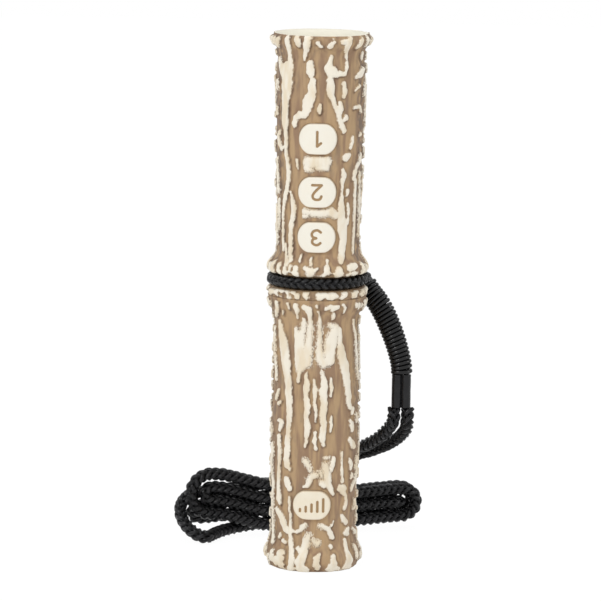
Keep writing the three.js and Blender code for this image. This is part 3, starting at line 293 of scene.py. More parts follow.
    [(11.6, 11, 0.45), (11.9, 9.2, 0.65), (12.6, 7, 0.75), (13.4, 5, 1.15), (13.6, 3, 1.4), (12.6, 1.4, 1.3)],
    [(14.8, 14.4, 0.35), (15.6, 12.6, 0.45)],
    [(15.4, 8, 0.45), (16, 6.8, 0.4)],
    [(2.3, 17.2, 0.55), (3.6, 16.8, 0.7), (5.4, 16, 0.8), (6.2, 14.4, 0.9), (7.1, 12.5, 0.65)],
    [(7.6, 18.6, 0.25), (6.7, 16.8, 0.45)],
    [(0, 12, 0.45), (0.8, 10.8, 0.55), (1.5, 10.1, 0.65), (2.2, 11, 0.5)],
    [(6.4, 9.6, 0.55), (6.8, 8.8, 0.55)],
    [(2.2, 6.6, 0.55), (1.2, 5, 1.1), (1.2, 3, 1.2), (2.1, 2.4, 0.8)],
    [(7.6, 6.4, 0.45), (7.6, 4.4, 0.8), (7.6, 2.6, 1.4), (6.6, 1.2, 1.4), (8.6, 1.2, 0.9)],
]

# Above this height, in mm, the barrel's edges carry fewer patches and more painted shade on the tan
BARER_ABOVE = 105

# Places where the cream is dry-brushed, as (low, high, half width across) in mm
BRUSHED = [(73, 92, 8.5), (145.5, 152, 6.5), (128.5, 134, 6.5), (33, 43, 7), (8, 18, 4)]

# Relief grid: one cell is about this wide, in mm
CELL = 0.38
COLUMNS = 272
MEAN_R = 16.3
AROUND = 2 * math.pi * MEAN_R

# The relief fades out and comes back over these heights at the lanyard groove, in mm
GROOVE_LOW = (102.6, 103.6)
GROOVE_HIGH = (107.4, 108.6)

# The main streaks of the sides and back start this far round from the front
FRONT_HALF = 66 * DEG
SIDE_STREAKS = 8

# The flares' teeth at the sides and back, as lengths round the barrel in mm
TEETH_FROM = 18.6
TEETH_TO = 84.4

# Lanyard, in mm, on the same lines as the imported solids
CORD_D = 4.4
STRAND_D = 2.2
STRAND_PITCH = 2.65
STRAND_STEPS = 48
STRAND_SHARE = 0.96  # how much of the way from the ferrule the two strands run side by side
BRAID_WAVE = 0.42  # how far a strand of the braid swings in and out, in strand radii
WHIP_PITCH = 1.5
WHIP_TURNS = 24
WHIP_FROM = 0.065  # where the whipping starts, as a share of the strands' way down
LEAVE_POINTS = [
    (16.2, 13.0, 105.0), (18.1, 12.1, 102.3), (20.0, 10.5, 98.7), (23.2, 8.8, 94.0), (26.1, 7.4, 88.4),
    (28.7, 6.4, 82.0), (30.5, 5.7, 76.0), (31.2, 5.4, 72.2), (31.2, 5.4, 70.4),
]
RING_R = 13.9 + 0.3 + CORD_D / 2
RING_Z = 105.7
RING_FROM = 28  # degrees round at which the two strands join the ring
RING_TO = 51
RING_OPENS = 34  # degrees over which the ring opens to LEAVE_R at its ends
RING_STEPS = 160
LEAVE_R = 19.2
FERRULE_LENGTH = 12.5
FERRULE_PITCH = 3.3
FERRULE_HIGH_Z = 70.1
FERRULE_LOBE_R = 1.86
FERRULE_EDGE_R = 0.35
FERRULE_MOUTH_R = 1.36
# Each dent is (height over the ferrule's foot, degrees round it, depth)
FERRULE_DENTS = [(4.2, 235, 0.6), (8.2, 235, 0.6), (6.2, 330, 0.25), (6.2, 120, 0.3)]
LEAD_PITCH = 5.0
LEAD_DROP = 12.8  # from the ferrule's high end down to the tops of the leads

# Hank of doubled cord behind the call
HANK_PITCH = 5.1
HANK_PLACE = (-4.4, 49.8)
HANK_TURN = 22.2 * DEG
HANK_ALONG = np.array([math.cos(HANK_TURN), math.sin(HANK_TURN), 0])
HANK_BACK = np.array([-math.sin(HANK_TURN), math.cos(HANK_TURN), 0])
HANK_ROW_LOW_Z = 4.1
HANK_WAIST_HALF = 12
HANK_TURNS = 1.915  # how often the cord goes round in each layer
# Each bulb is (reach, height, radius, how far its foot comes forward)
FRONT_BULB = (39, 17.6, 7.6, 0)
BACK_BULB = (42, 9.9, 7.5, 12)
RIGHT_BULB = (39, 10.2, 5.2, 0)
FOLD_R = 3.2
FOLD_AHEAD = 3
FOLD_STEPS = 12
BAND_CLEAR = 0.3
BAND_HALF_WIDTH = 2.1
BAND_HALF_THICK = 0.55
BAND_MIDDLE = 0.62  # how far the middle of the band's section stands out
BAND_RIB = 0.1
LEAD_A_ROUTE = [
    (27.3, 8.2, 50.0), (23.0, 13.5, 44.6), (16.5, 20.0, 39.8), (9.5, 27.0, 35.4), (3.0, 34.2, 30.8),
    (-2.6, 40.6, 26.4), (-5.2, 45.2, 22.2),
]
LEAD_B_ROUTE = [
    (33.2, 9.2, 49.0), (29.0, 16.5, 43.2), (22.4, 24.0, 38.6), (14.0, 31.2, 34.6), (7.0, 39.0, 31.0),
    (0.4, 45.8, 27.2), (-4.8, 51.8, 24.0),
]


def linear(code):
    """An sRGB hex colour as linear red, green, blue and alpha."""
    parts = [int(code[i : i + 2], 16) / 255 for i in (0, 2, 4)]
    return [p / 12.92 if p <= 0.04045 else ((p + 0.055) / 1.055) ** 2.4 for p in parts] + [1.0]


def colour(name, description, code):
    return bpy.props.FloatVectorProperty(
        name=name, description=description, subtype="COLOR", size=4, min=0, max=1, default=linear(code)
    )


def length(name, description, value):
    return bpy.props.FloatProperty(
        name=name, description=description, subtype="DISTANCE", unit="LENGTH", min=0, default=value * MM
    )


class CallSizes(bpy.types.PropertyGroup):
    relief: length("Relief", "Height of the raised patches over the hollows", 0.8)
    grain: length("Grain", "Depth of the long soft furrows in the hollows", 0.22)
    engraving: length("Engraving", "Depth of the marks in the pads", 0.4)
    braid_pitch: length("Braid pitch", "Length of cord in which a strand goes once round", 10.8)
    strand: length("Strand", "Radius of one strand of the braid", 0.84)
    braid: length("Braid", "Radius of the braided cord", 2.5)
    wire: length("Whipping cord", "Thickness of the thin cord wound round the noose", 1.56)


class CallColours(bpy.types.PropertyGroup):
    cream: colour("Cream", "Raised patches and pads", "F9F1E0")
    cream_warm: colour("Warm cream", "Yellower places on the raised patches", "EFE0C5")
    tan: colour("Tan", "Hollows of the antler moulding", "BB9D78")
    tan_deep: colour("Deep tan", "Darker furrows in the hollows", "9C7F65")
    # The edge colour is both a brown wash and the painted shadow at the foot of the patches on their lee side
    edge: colour("Edge", "Colour that settles at the foot of a raised patch", "67503C")
    mark: colour("Mark", "Filled marks in the pads", "A98A63")
    cord: colour("Cord", "Braided cord", "08080A")


def mix(a, b, t):
    return a + (b - a) * t


def smooth(x, low, high):
    t = np.clip((x - low) / (high - low), 0, 1)
    return t * t * (3 - 2 * t)


def within(x, low, high, blur):
    """1 between low and high and 0 outside, blurred by this much to both sides of each."""
    return smooth(x, low - blur, low + blur) * (1 - smooth(x, high - blur, high + blur))


def edge_drop(radius, to_edge):
    """How far a rounded edge of this radius has fallen away at a place this far in from it."""
    return radius - math.sqrt(max(0, radius**2 - max(0, radius - to_edge) ** 2))


def run_along(points):
    """How far along the polyline each of its points lies."""
    return np.r_[0, np.cumsum(np.linalg.norm(np.diff(points, axis=0), axis=1))]


# Nodes


def feed(tree, node, inputs):
    """Gives inputs of a node their values or the sockets that feed them, by name or by place."""
    for key, value in inputs.items() if isinstance(inputs, dict) else enumerate(inputs):
        if hasattr(value, "is_output"):
            tree.links.new(value, node.inputs[key])
        else:
            node.inputs[key].default_value = value


def add(tree, kind, inputs=(), **settings):
    """One node with its settings and what feeds it; gives the node's outputs."""
    node = tree.nodes.new(kind)
    for key, value in settings.items():
        setattr(node, key, value)
    feed(tree, node, inputs)
    return node.outputs


def material(name):
    """A new node material and its Principled shader."""
    made = bpy.data.materials.new(name)
    made.use_nodes = True
    return made, made.node_tree, made.node_tree.nodes["Principled BSDF"]


def stretched_noise(tree, size, detail=3.0, rough=0.55):
    """Noise on object coordinates whose grain is size = (x, y, z) in mm."""
    place = add(tree, "ShaderNodeTexCoord")["Object"]
    scaled = add(tree, "ShaderNodeMapping", {"Vector": place, "Scale": [1 / (s * MM) for s in size]})[0]
    inputs = {"Vector": scaled, "Scale": 1.0, "Detail": detail, "Roughness": rough}
    return add(tree, "ShaderNodeTexNoise", inputs)["Fac"]


def cloud(tree, size, low, high, least=0.0, most=1.0, detail=3.0):
    """A share that goes smoothly from least to most where noise of this grain goes from low to high."""
    inputs = [stretched_noise(tree, size, detail), low, high, least, most]
    return add(tree, "ShaderNodeMapRange", inputs, interpolation_type="SMOOTHSTEP")[0]


def coats(tree, colour, layers):
    """A colour with others laid over it, each given as (its share, the other colour)."""
    for share, other in layers:
        colour = add(tree, "ShaderNodeMix", {0: share, 6: colour, 7: other}, data_type="RGBA")[2]
    return colour


def seen_rays(tree):
    """1 for rays from the camera and for those that a mirroring or clear thing passes on."""
    rays = add(tree, "ShaderNodeLightPath")
    seen = rays["Is Camera Ray"]
    for name in ("Is Glossy Ray", "Is Transmission Ray"):
        seen = add(tree, "ShaderNodeMath", [seen, rays[name]], operation="MAXIMUM")[0]
    return seen


def antler_moulding(colours):
    """Dry-brushed moulded rubber: smooth cream paint on the plateaus, matt tan in the hollows, with painted
    shade on the flanks and at the foot of the patches.
    """
    made, tree, shader = material("antler_moulded_rubber")
    ridge, brushed, flank, lee_shade, lining = (
        add(tree, "ShaderNodeAttribute", attribute_name=name)["Fac"]
        for name in ("ridge", "brushed", "flank", "lee_shade", "lining")
    )
    ragged = stretched_noise(tree, (0.5, 0.5, 0.9))
    for operation, by in (("SUBTRACT", 0.5), ("MULTIPLY", 0.9)):
        ragged = add(tree, "ShaderNodeMath", [ragged, by], operation=operation)[0]
    dry = stretched_noise(tree, (0.3, 0.3, 1.0), 4.0, 0.7)
    for operation, by in (("SUBTRACT", 0.44), ("MULTIPLY", brushed), ("MULTIPLY", 5.5)):
        dry = add(tree, "ShaderNodeMath", [dry, by], operation=operation)[0]
    painted = ridge
    for more in (ragged, dry):
        painted = add(tree, "ShaderNodeMath", [painted, more], operation="ADD")[0]
    # Painted shade: the flanks, as the camera sees them, are darkened to a greyer tan in places
    shade = flank
    for by in (cloud(tree, (1.4, 1.4, 3), 0.35, 0.65), 0.75):
        shade = add(tree, "ShaderNodeMath", [shade, by], operation="MULTIPLY")[0]
    cream, foot, lee_shade = (
        add(tree, "ShaderNodeMapRange", inputs, interpolation_type="SMOOTHSTEP")[0]
        for inputs in (
            [painted, -0.14, 0.2, 0.0, 1.0], [ridge, -1.1, -0.16, 0.0, 1.0], [lee_shade, 0.0, 0.9, 0.22, 1.0],
        )
    )
    roughness = add(tree, "ShaderNodeMapRange", [cream, 0, 1, 0.66, 0.5], interpolation_type="SMOOTHSTEP")[0]
    # A brown wash settles at the foot of the patches, and painted shadow darkens it most on their lower and
    # right-hand sides, away from the key lamp
    settled_and_shaded = cloud(tree, (2.2, 2.2, 5), 0.3, 0.7, 0.25, 1.0, 2.0)
    settled_and_shaded = add(tree, "ShaderNodeMath", [settled_and_shaded, lee_shade], operation="MULTIPLY")[0]
    dirt_and_shadow = add(tree, "ShaderNodeMath", [foot, settled_and_shaded], operation="MULTIPLY")[0]
    tans = coats(tree, colours.tan_deep[:], (
        (cloud(tree, (2.6, 2.6, 17), 0.36, 0.62, detail=2.0), colours.tan[:]),
        (cloud(tree, (4, 4, 9), 0.56, 0.74, 0.0, 0.45, 2.0), linear("8C7A68")),
        (shade, linear("7F6C5C")),
        (dirt_and_shadow, colours.edge[:]),
    ))
    creams = coats(tree, colours.cream[:], (
        (cloud(tree, (4.5, 4.5, 12), 0.42, 0.66, detail=2.0), colours.cream_warm[:]),
        (lining, linear("F3EFDF")),
    ))
    streaks = stretched_noise(tree, (0.45, 0.45, 3.2), 4.0, 0.6)
    bump = add(tree, "ShaderNodeBump", {"Strength": 0.35, "Distance": 0.12 * MM, "Height": streaks})[0]
    feed(tree, shader, {
        "Base Color": coats(tree, tans, [(cream, creams)]), "Roughness": roughness, "IOR": 1.5,
        "Specular IOR Level": 0.4, "Normal": bump,
    })
    return made


def pad_rubber(name, tint, colours):
    """Soft moulded cream rubber with a fine satin skin; the sunk marks are filled with tan."""
    made, tree, shader = material(name)
    rim, sunk = (
        add(tree, "ShaderNodeMapRange", [
            add(tree, "ShaderNodeAttribute", attribute_name=mark)["Fac"], 0.0, high, 0.0, most,
        ], interpolation_type="SMOOTHSTEP")[0]
        for mark, high, most in (("rim", 1.0, 0.55), ("cut", 0.16, 1.0))
    )
    mottle = cloud(tree, (3, 3, 3), 0.35, 0.7, 0.0, 0.35, 2.0)
    body = coats(tree, tint, (
        (mottle, colours.cream[:]), (rim, linear("CDB48F")), (sunk, colours.mark[:]),
    ))
    skin = stretched_noise(tree, (0.5, 0.5, 0.5))
    bump = add(tree, "ShaderNodeBump", {"Strength": 0.2, "Distance": 0.05 * MM, "Height": skin})[0]
    feed(tree, shader, {"Base Color": body, "Roughness": 0.48, "Specular IOR Level": 0.4, "Normal": bump})
    return made


def braided_polyester(colours):
    """Black polyester yarn: each strand shows fine filaments, and a painted sheen of lighter grey on its
    crown.
    """
    made, tree, shader = material("braided_black_polyester")
    filaments, crown = (
        add(tree, "ShaderNodeAttribute", attribute_name=name)["Fac"] for name in ("around", "crown")
    )
    for operation, by in (("MULTIPLY", 2 * math.pi * 7), ("SINE", 0.0), ("MULTIPLY", 0.35)):
        filaments = add(tree, "ShaderNodeMath", [filaments, by], operation=operation)[0]
    fuzz = stretched_noise(tree, (0.22, 0.22, 0.22))
    height = add(tree, "ShaderNodeMath", [filaments, fuzz], operation="ADD")[0]
    # Painted sheen: a lighter grey laid in patches on the strands' crowns
    patchy_sheen = cloud(tree, (0.9, 0.9, 0.9), 0.3, 0.7, 0.4, 1.0)
    crown = add(tree, "ShaderNodeMapRange", [crown, 0.35, 1.0, 0.0, 1.0], interpolation_type="SMOOTHSTEP")[0]
    crown = add(tree, "ShaderNodeMath", [crown, patchy_sheen], operation="MULTIPLY")[0]
    bump = add(tree, "ShaderNodeBump", {"Strength": 0.3, "Distance": 0.05 * MM, "Height": height})[0]
    feed(tree, shader, {
        "Base Color": coats(tree, colours.cord[:], [(crown, linear("303032"))]),
        "Roughness": cloud(tree, (0.22, 0.22, 0.22), 0.3, 0.7, 0.2, 0.3),
        "Specular IOR Level": 0.2, "Normal": bump,
    })
    return made


def plastic(name, code, roughness, grain, level=0.5):
    """Moulded plastic with a faint moulding grain of the given size in mm."""
    made, tree, shader = material(name)
    base = linear(code)
    lighter = [min(1, c * 1.35 + 0.004) for c in base[:3]] + [1.0]
    grains = stretched_noise(tree, (grain,) * 3)
    bump = add(tree, "ShaderNodeBump", {"Strength": 0.25, "Distance": 0.05 * MM, "Height": grains})[0]
    feed(tree, shader, {
        "Base Color": coats(tree, base, [(cloud(tree, (grain * 6,) * 3, 0.3, 0.7, 0.0, 0.5, 2.0), lighter)]),
        "Roughness": cloud(tree, (grain * 3,) * 3, 0.3, 0.7, roughness * 0.9, roughness * 1.15),
        "Specular IOR Level": level, "Normal": bump,
    })
    return made


def white_paper():
    """Matt white paper, with a glow of its own for the rays that show it."""
    made, tree, shader = material("matt_white_paper")
    feed(tree, shader, {"Base Color": linear("F0F0F0"), "Roughness": 0.9})
    glow = add(tree, "ShaderNodeEmission", {"Color": (1, 1, 1, 1), "Strength": 1.04})[0]
    share = add(tree, "ShaderNodeMath", [seen_rays(tree), 0.93], operation="MULTIPLY")[0]
    joined = add(tree, "ShaderNodeMixShader", [share, shader.outputs[0], glow])[0]
    feed(tree, tree.nodes["Material Output"], {"Surface": joined})
    return made


# Mesh helpers


def linked(name, data):
    """A new object of these data in the scene."""
    made = bpy.data.objects.new(name, data)
    bpy.context.scene.collection.objects.link(made)
    return made


def mesh_object(name, points, faces, finish, attributes=None):
    """A smooth object from points in mm; its place is in its mesh."""
    mesh = bpy.data.meshes.new(name)
    mesh.from_pydata((np.asarray(points, float) * MM).tolist(), [], faces)
    for key, values in (attributes or {}).items():
        layer = mesh.attributes.new(key, "FLOAT", "POINT")
        layer.data.foreach_set("value", np.asarray(values, np.float32))
    mesh.polygons.foreach_set("use_smooth", [True] * len(mesh.polygons))
    mesh.materials.append(finish)
    mesh.validate()
    mesh.update()
    return linked(name, mesh)


def outward(made):
    """Merges doubles and turns every face outwards."""
    work = bmesh.new()
    work.from_mesh(made.data)
    bmesh.ops.remove_doubles(work, verts=work.verts, dist=1e-7)
    bmesh.ops.recalc_face_normals(work, faces=work.faces)
    work.to_mesh(made.data)
    work.free()
    made.data.update()
    return made


def torus_faces(rows, columns):
    """Faces of a grid that closes both ways."""
    i = np.arange(rows)[:, None]
    j = np.arange(columns)[None, :]
    a = i * columns + j
    b = i * columns + (j + 1) % columns
    c = ((i + 1) % rows) * columns + (j + 1) % columns
    d = ((i + 1) % rows) * columns + j
    return np.stack([a, b, c, d], -1).reshape(-1, 4).tolist()


def prism_faces(count, rows=1):
    """Faces of a closed prism made of rings of this many points, with its two ends."""
    faces = [
        [k * count + i, k * count + (i + 1) % count, (k + 1) * count + (i + 1) % count, (k + 1) * count + i]
        for k in range(rows) for i in range(count)
    ]
    return [*faces, list(range(count))[::-1], list(range(rows * count, (rows + 1) * count))]


def bake_modifiers(made):
    """Turns the evaluated object into a plain mesh and removes its modifiers."""
    graph = bpy.context.evaluated_depsgraph_get()
    mesh = bpy.data.meshes.new_from_object(made.evaluated_get(graph))
    made.modifiers.clear()
    old = made.data
    made.data = mesh
    bpy.data.meshes.remove(old)
    return made


def cut(made, tool):
    """Takes the closed solid tool out of the object."""
    modifier = made.modifiers.new("cut", "BOOLEAN")
    modifier.operation = "DIFFERENCE"
    modifier.solver = "MANIFOLD"
    modifier.object = tool
    bake_modifiers(made)
    bpy.data.objects.remove(tool)
    return made


def resample(points, step):
    """The polyline's points at equal steps of about the given length."""
    points = np.asarray(points, float)
    along = run_along(points)
    count = max(2, int(round(along[-1] / step)) + 1)
    places = np.linspace(0, along[-1], count)
    return np.stack([np.interp(places, along, points[:, k]) for k in range(points.shape[1])], 1)


def soften(points, passes):
    """Rounds the corners of a polyline and keeps its ends."""
    points = points.copy()
    for _ in range(passes):
        points[1:-1] = 0.25 * points[:-2] + 0.5 * points[1:-1] + 0.25 * points[2:]
    return points


def catmull(points, per_span=16):
    """A centripetal Catmull-Rom curve through the points."""
    points = [np.asarray(p, float) for p in points]
    ends = [2 * points[0] - points[1], *points, 2 * points[-1] - points[-2]]
    curve = []
    for p0, p1, p2, p3 in zip(ends, ends[1:], ends[2:], ends[3:]):
        knots = [0.0]
        for a, b in ((p0, p1), (p1, p2), (p2, p3)):
            knots.append(knots[-1] + max(1e-6, np.linalg.norm(b - a)) ** 0.5)
        t0, t1, t2, t3 = knots
        for k in range(per_span):
            t = mix(t1, t2, k / per_span)
            a1 = (t1 - t) / (t1 - t0) * p0 + (t - t0) / (t1 - t0) * p1
            a2 = (t2 - t) / (t2 - t1) * p1 + (t - t1) / (t2 - t1) * p2
            a3 = (t3 - t) / (t3 - t2) * p2 + (t - t2) / (t3 - t2) * p3
            b1 = (t2 - t) / (t2 - t0) * a1 + (t - t0) / (t2 - t0) * a2
            b2 = (t3 - t) / (t3 - t1) * a2 + (t - t1) / (t3 - t1) * a3
            curve.append((t2 - t) / (t2 - t1) * b1 + (t - t1) / (t2 - t1) * b2)
    curve.append(points[-1])
    return np.array(curve)


# Antler relief


def lattice_noise(across, up, size, seed):
    """Smooth noise from -1 to 1 on (across, up) in mm that closes round the barrel."""
    cells = max(3, int(round(AROUND / size[0])))
    rng = np.random.RandomState(seed)
    rows = int((up.max() - up.min()) / size[1]) + 4
    grid = rng.uniform(-1, 1, (rows, cells))
    x = (across / AROUND * cells) % cells
    y = (up - up.min()) / size[1]
    i, j = np.floor(x).astype(int), np.floor(y).astype(int)
    u, v = x - i, y - j
    u, v = u * u * (3 - 2 * u), v * v * (3 - 2 * v)
    left, right = i % cells, (i + 1) % cells
    below = grid[j, left] * (1 - u) + grid[j, right] * u
    above = grid[j + 1, left] * (1 - u) + grid[j + 1, right] * u
    return below * (1 - v) + above * v


def side_streaks(low, high):
    """The main streaks up the sides and back, as the solids have them, but for the two next to the front."""
    spread = (2 * math.pi - 2 * FRONT_HALF) / SIDE_STREAKS
    streaks = []
    for k in range(1, SIDE_STREAKS - 1):
        middle = MEAN_R * (FRONT_HALF + (k + 0.5) * spread - VIEW_TURN)
        heights = np.arange(low - 2, high + 4, 2.0)
        wander = 1.5 * np.sin(2 * math.pi * heights / 31 + 1.7 * k)
        width = 1.5 + 1.2 * np.sin(2 * math.pi * heights / 43 + 2.4 * k)
        streaks.append(list(zip(middle + wander, heights, np.maximum(0.28, 0.8 * width))))
    return streaks


def back_patches(low, high, flares, seed):
    """Smaller patches between the main streaks of the sides and back, and the teeth of the flares there."""
    rng = random.Random(seed)
    patches = []
    spread = MEAN_R * (2 * math.pi - 2 * FRONT_HALF) / SIDE_STREAKS
    for k in range(1, SIDE_STREAKS):
        for lane in (-1.15, 1.15):
            z = low + rng.uniform(0, 5)
            knob = k in (1, SIDE_STREAKS - 1)
            foremost = knob and (lane < 0) == (k == 1)
            while z < high:
                if knob:
                    run, width = rng.uniform(0.8, 3), rng.uniform(0.65, 1.2)
                else:
                    run = rng.choice([rng.uniform(1.2, 3), rng.uniform(3, 8), rng.uniform(8, 15)])
                    width = rng.uniform(0.35, 0.95)
                here = MEAN_R * (FRONT_HALF - VIEW_TURN) + k * spread + lane + rng.uniform(-0.5, 0.5)
                points = []
                steps = max(2, int(run / 2.2) + 1)
                for i in range(steps):
                    taper = 0.5 if i in (0, steps - 1) else rng.uniform(0.7, 1.3)
                    points.append((here, min(z + run * i / (steps - 1), high + 2), width * taper))
                    here += rng.gauss(0, 0.4)
                patches.append(points)
                z += run + (rng.uniform(6, 14) if foremost and z > BARER_ABOVE else rng.uniform(1.4, 5))
    for middle, reach in flares:
        s = TEETH_FROM
        while s < TEETH_TO:
            w = rng.uniform(0.45, 0.85)
            top = middle + rng.uniform(0, reach)
            foot = (s + rng.uniform(-0.5, 0.5), middle - rng.uniform(0, reach), w * 0.8)
            patches.append([(s, top, w), foot])
            s += rng.uniform(2.6, 4.0)
    return patches


def paint(field, across, up, patch):
    """Raises the field to the signed distance inside one patch, in mm."""
    margin = 1.6
    for (s0, z0, w0), (s1, z1, w1) in zip(patch, patch[1:]):
        rows = np.where((up >= min(z0, z1) - margin - w0) & (up <= max(z0, z1) + margin + w0))[0]
        if not len(rows):
            continue
        middle = (s0 + s1) / 2
        offset = (across - middle + AROUND / 2) % AROUND - AROUND / 2
        columns = np.where(np.abs(offset) <= abs(s1 - s0) / 2 + margin + max(w0, w1))[0]
        if not len(columns):
            continue
        x = offset[columns][None, :] - (s0 - middle)
        y = up[rows][:, None] - z0
        dx, dy = s1 - s0, z1 - z0
        t = np.clip((x * dx + y * dy) / max(1e-9, dx * dx + dy * dy), 0, 1)
        inside = mix(w0, w1, t) - np.hypot(x - t * dx, y - t * dy)
        block = np.ix_(rows, columns)
        field[block] = np.maximum(field[block], inside)


def front_to_unrolled(patches, outside):
    """Turns places seen from the front into lengths round the barrel."""
    heights = [z for _, z in outside]
    radii = [r for r, _ in outside]
    turned = []
    for patch in patches:
        points = []
        for x, z, w in patch:
            r = float(np.interp(z, heights, radii)) + 0.35
            turn = math.asin(max(-0.985, min(0.985, x / r)))
            points.append((MEAN_R * turn, z, (w + 0.12) / max(0.8, math.cos(turn))))
        turned.append(points)
    return turned


def raised_field(across, up, patches, bands, seed):
    """Signed distance inside the raised patches, in mm, with ragged edges and each band's own level."""
    field = np.full((len(up), COLUMNS), -3.0)
    for patch in patches:
        heights = [z for _, z, _ in patch]
        if max(heights) > up.min() - 2 and min(heights) < up.max() + 2:
            paint(field, across, up, patch)
    s, z = np.meshgrid(across, up)
    field += 0.26 * lattice_noise(s, z, (0.9, 1.2), seed + 1)
    field += 0.16 * lattice_noise(s, z, (2.4, 3.4), seed + 2)
    for low, high, level in bands:
        ragged = 0.5 * lattice_noise(s, z, (1.7, 1.5), seed + 5)
        share = within(z, low, high, 0.3)
        field = mix(field, level + 1.2 * ragged + 0.6 * np.clip(field, -1.2, 1), share)
    return field


def brushed_share(s, z, flank):
    """How dry-brushed each place is."""
    brushed = 0.3 * flank
    for low, high, reach in BRUSHED:
        near = within(z, low, high, 1) * (1 - smooth(np.abs(s), reach - 1.5, reach + 1.5))
        brushed = np.maximum(brushed, near)
    return brushed


def pad_margin(turned, z, pads):
    """How far each place lies outside the nearest pad, in mm."""
    far = 9.0
    margin = np.full(z.shape, far)
    flat = PAD_WIDTH * PAD_FLAT
    for _, middle, height, wall in pads:
        x = np.cos(turned) * wall
        q = np.hypot(np.maximum(np.abs(x) - flat, 0) / (PAD_WIDTH / 2 - flat), (z - middle) / (height / 2))
        margin = np.minimum(margin, np.where(np.sin(turned) < 0, (q - 1) * height / 2, far))
    return margin


def barrel(name, outside, inside, pads, sizes, finish, seed, calm, flares, bands):
    """A moulded barrel: its profile turned round, with raised patches and furrows, and holes for its pads.

    The relief lies between the two heights of calm. Each flare is (height, reach of its teeth), and each band
    is (low, high, level) of a ring that is raised or sunk on the whole.
    """
    profile = soften(resample(outside, CELL), 4)
    inner = resample(inside, 2.4)
    up = profile[:, 1]
    angle = 2 * math.pi * np.arange(COLUMNS) / COLUMNS
    seen = (angle - VIEW_TURN + math.pi / 2 + math.pi) % (2 * math.pi) - math.pi
    across = MEAN_R * seen
    patches = [
        *front_to_unrolled(FRONT_PATCHES, outside), *side_streaks(up.min(), up.max()),
        *back_patches(up.min(), up.max(), flares, seed),
    ]
    field = raised_field(across, up, patches, bands, seed)
    s, z = np.meshgrid(across, up)
    turned = np.meshgrid(angle, up)[0]
    flank = smooth(np.abs(s), 14, 20) * (1 - smooth(np.abs(s), 34, 42))
    margin = pad_margin(turned, z, pads)
    field = np.minimum(field, (margin - 1.0) * 1.4)
    # Painted shadow: the lee share is larger on the lower and right-hand sides of the patches, away from the
    # key lamp
    slope_up, slope_across = np.gradient(field, CELL, AROUND / COLUMNS)
    lee_shade = np.clip(0.35 + 0.45 * slope_up - 0.4 * slope_across, 0, 1)
    lift = smooth(field, -0.42, 0.3)
    dome = 0.14 * np.clip(field, 0, 1.3)
    furrows = lattice_noise(s, z, (2.4, 17), seed + 3) + 0.35 * lattice_noise(s, z, (1.2, 10), seed + 4)
    quiet = smooth(margin, 0.3, 2.2)
    relief, grain = sizes.relief / MM, sizes.grain / MM
    rise = relief * (lift - 0.5) + dome + grain * furrows * (1 - 0.6 * lift) * quiet
    rise = rise - 0.3 * flank * (1 - lift)
    ends = smooth(z, calm[0], calm[0] + 1.6) * (1 - smooth(z, calm[1] - 1.6, calm[1]))
    off_groove = 1 - smooth(z, *GROOVE_LOW) * (1 - smooth(z, *GROOVE_HIGH))
    radius = profile[:, 0][:, None] + rise * ends * off_groove
    field = np.where(off_groove < 0.5, -1.5, field)
    outer = np.stack([radius * np.cos(turned), radius * np.sin(turned), z], -1)
    ring = np.stack([np.cos(angle), np.sin(angle)], -1)
    lining = np.concatenate([np.c_[r * ring, np.full(COLUMNS, h)] for r, h in inner])
    # Each mark has a value for every place outside and one value for the whole lining
    marks = {
        "ridge": (np.clip(field, -2, 2), 2),
        "lee_shade": (lee_shade, 0),
        "brushed": (brushed_share(s, z, flank), 0),
        # Painted shade on the flanks, about twice as strong above BARER_ABOVE
        "flank": (flank * mix(1, 2.1, smooth(z, BARER_ABOVE, BARER_ABOVE + 20)), 0),
        "lining": (np.zeros_like(field), 1),
    }
    marks = {key: np.r_[spots.ravel(), np.full(len(lining), value)] for key, (spots, value) in marks.items()}
    points = np.concatenate([outer.reshape(-1, 3), lining])
    made = outward(mesh_object(name, points, torus_faces(len(profile) + len(inner), COLUMNS), finish, marks))
    for _, middle, height, _ in pads:
        cut(made, oval_prism(PAD_WIDTH + PAD_CLEAR, height + PAD_CLEAR, middle, *PAD_HOLE, finish))
    return made


def oval(width, height, count):
    """Points of the pads' outline: half ellipses on a flat middle."""
    flat = width * PAD_FLAT
    angles = 2 * math.pi * np.arange(count) / count
    across = np.cos(angles)
    x = across * (width / 2 - flat) + np.sign(across) * flat * np.minimum(1, np.abs(across) * 6)
    return np.stack([x, np.sin(angles) * height / 2], -1)


def oval_prism(width, height, middle, front, back, finish, count=96):
    """A closed oval solid along Y."""
    outline = oval(width, height, count)
    points = [(x, y, middle + z) for y in (front, back) for x, z in outline]
    return outward(mesh_object("oval_tool", points, prism_faces(count), finish))


# Pads

# Marks as strokes of (across, up) in mm: plain numbers on the tone pads and rising bars on the volume pad
NUMBER_STROKES = {
    "fawn_pad": [[(-1.15, 1.45), (0.2, 2.6), (0.2, -2.6)]],
    "doe_pad": [[(-1.6, 1.4), (-1.2, 2.3), (0, 2.65), (1.25, 2.2), (1.5, 1.15), (0.9, 0.05), (-1.65, -2.6)],
                [(-1.65, -2.6), (1.7, -2.6)]],
    "young_buck_pad": [[(-1.5, 1.95), (-0.6, 2.6), (0.55, 2.55), (1.4, 1.8), (1.2, 0.7), (0.0, 0.2)],
                       [(0.0, 0.2), (1.3, -0.3), (1.6, -1.4), (0.8, -2.4), (-0.5, -2.65), (-1.6, -1.95)]],
}
BAR_STROKES = [[(-4.2 + 2.1 * i, -2.2), (-4.2 + 2.1 * i, -1.5 + 0.95 * i)] for i in range(5)]


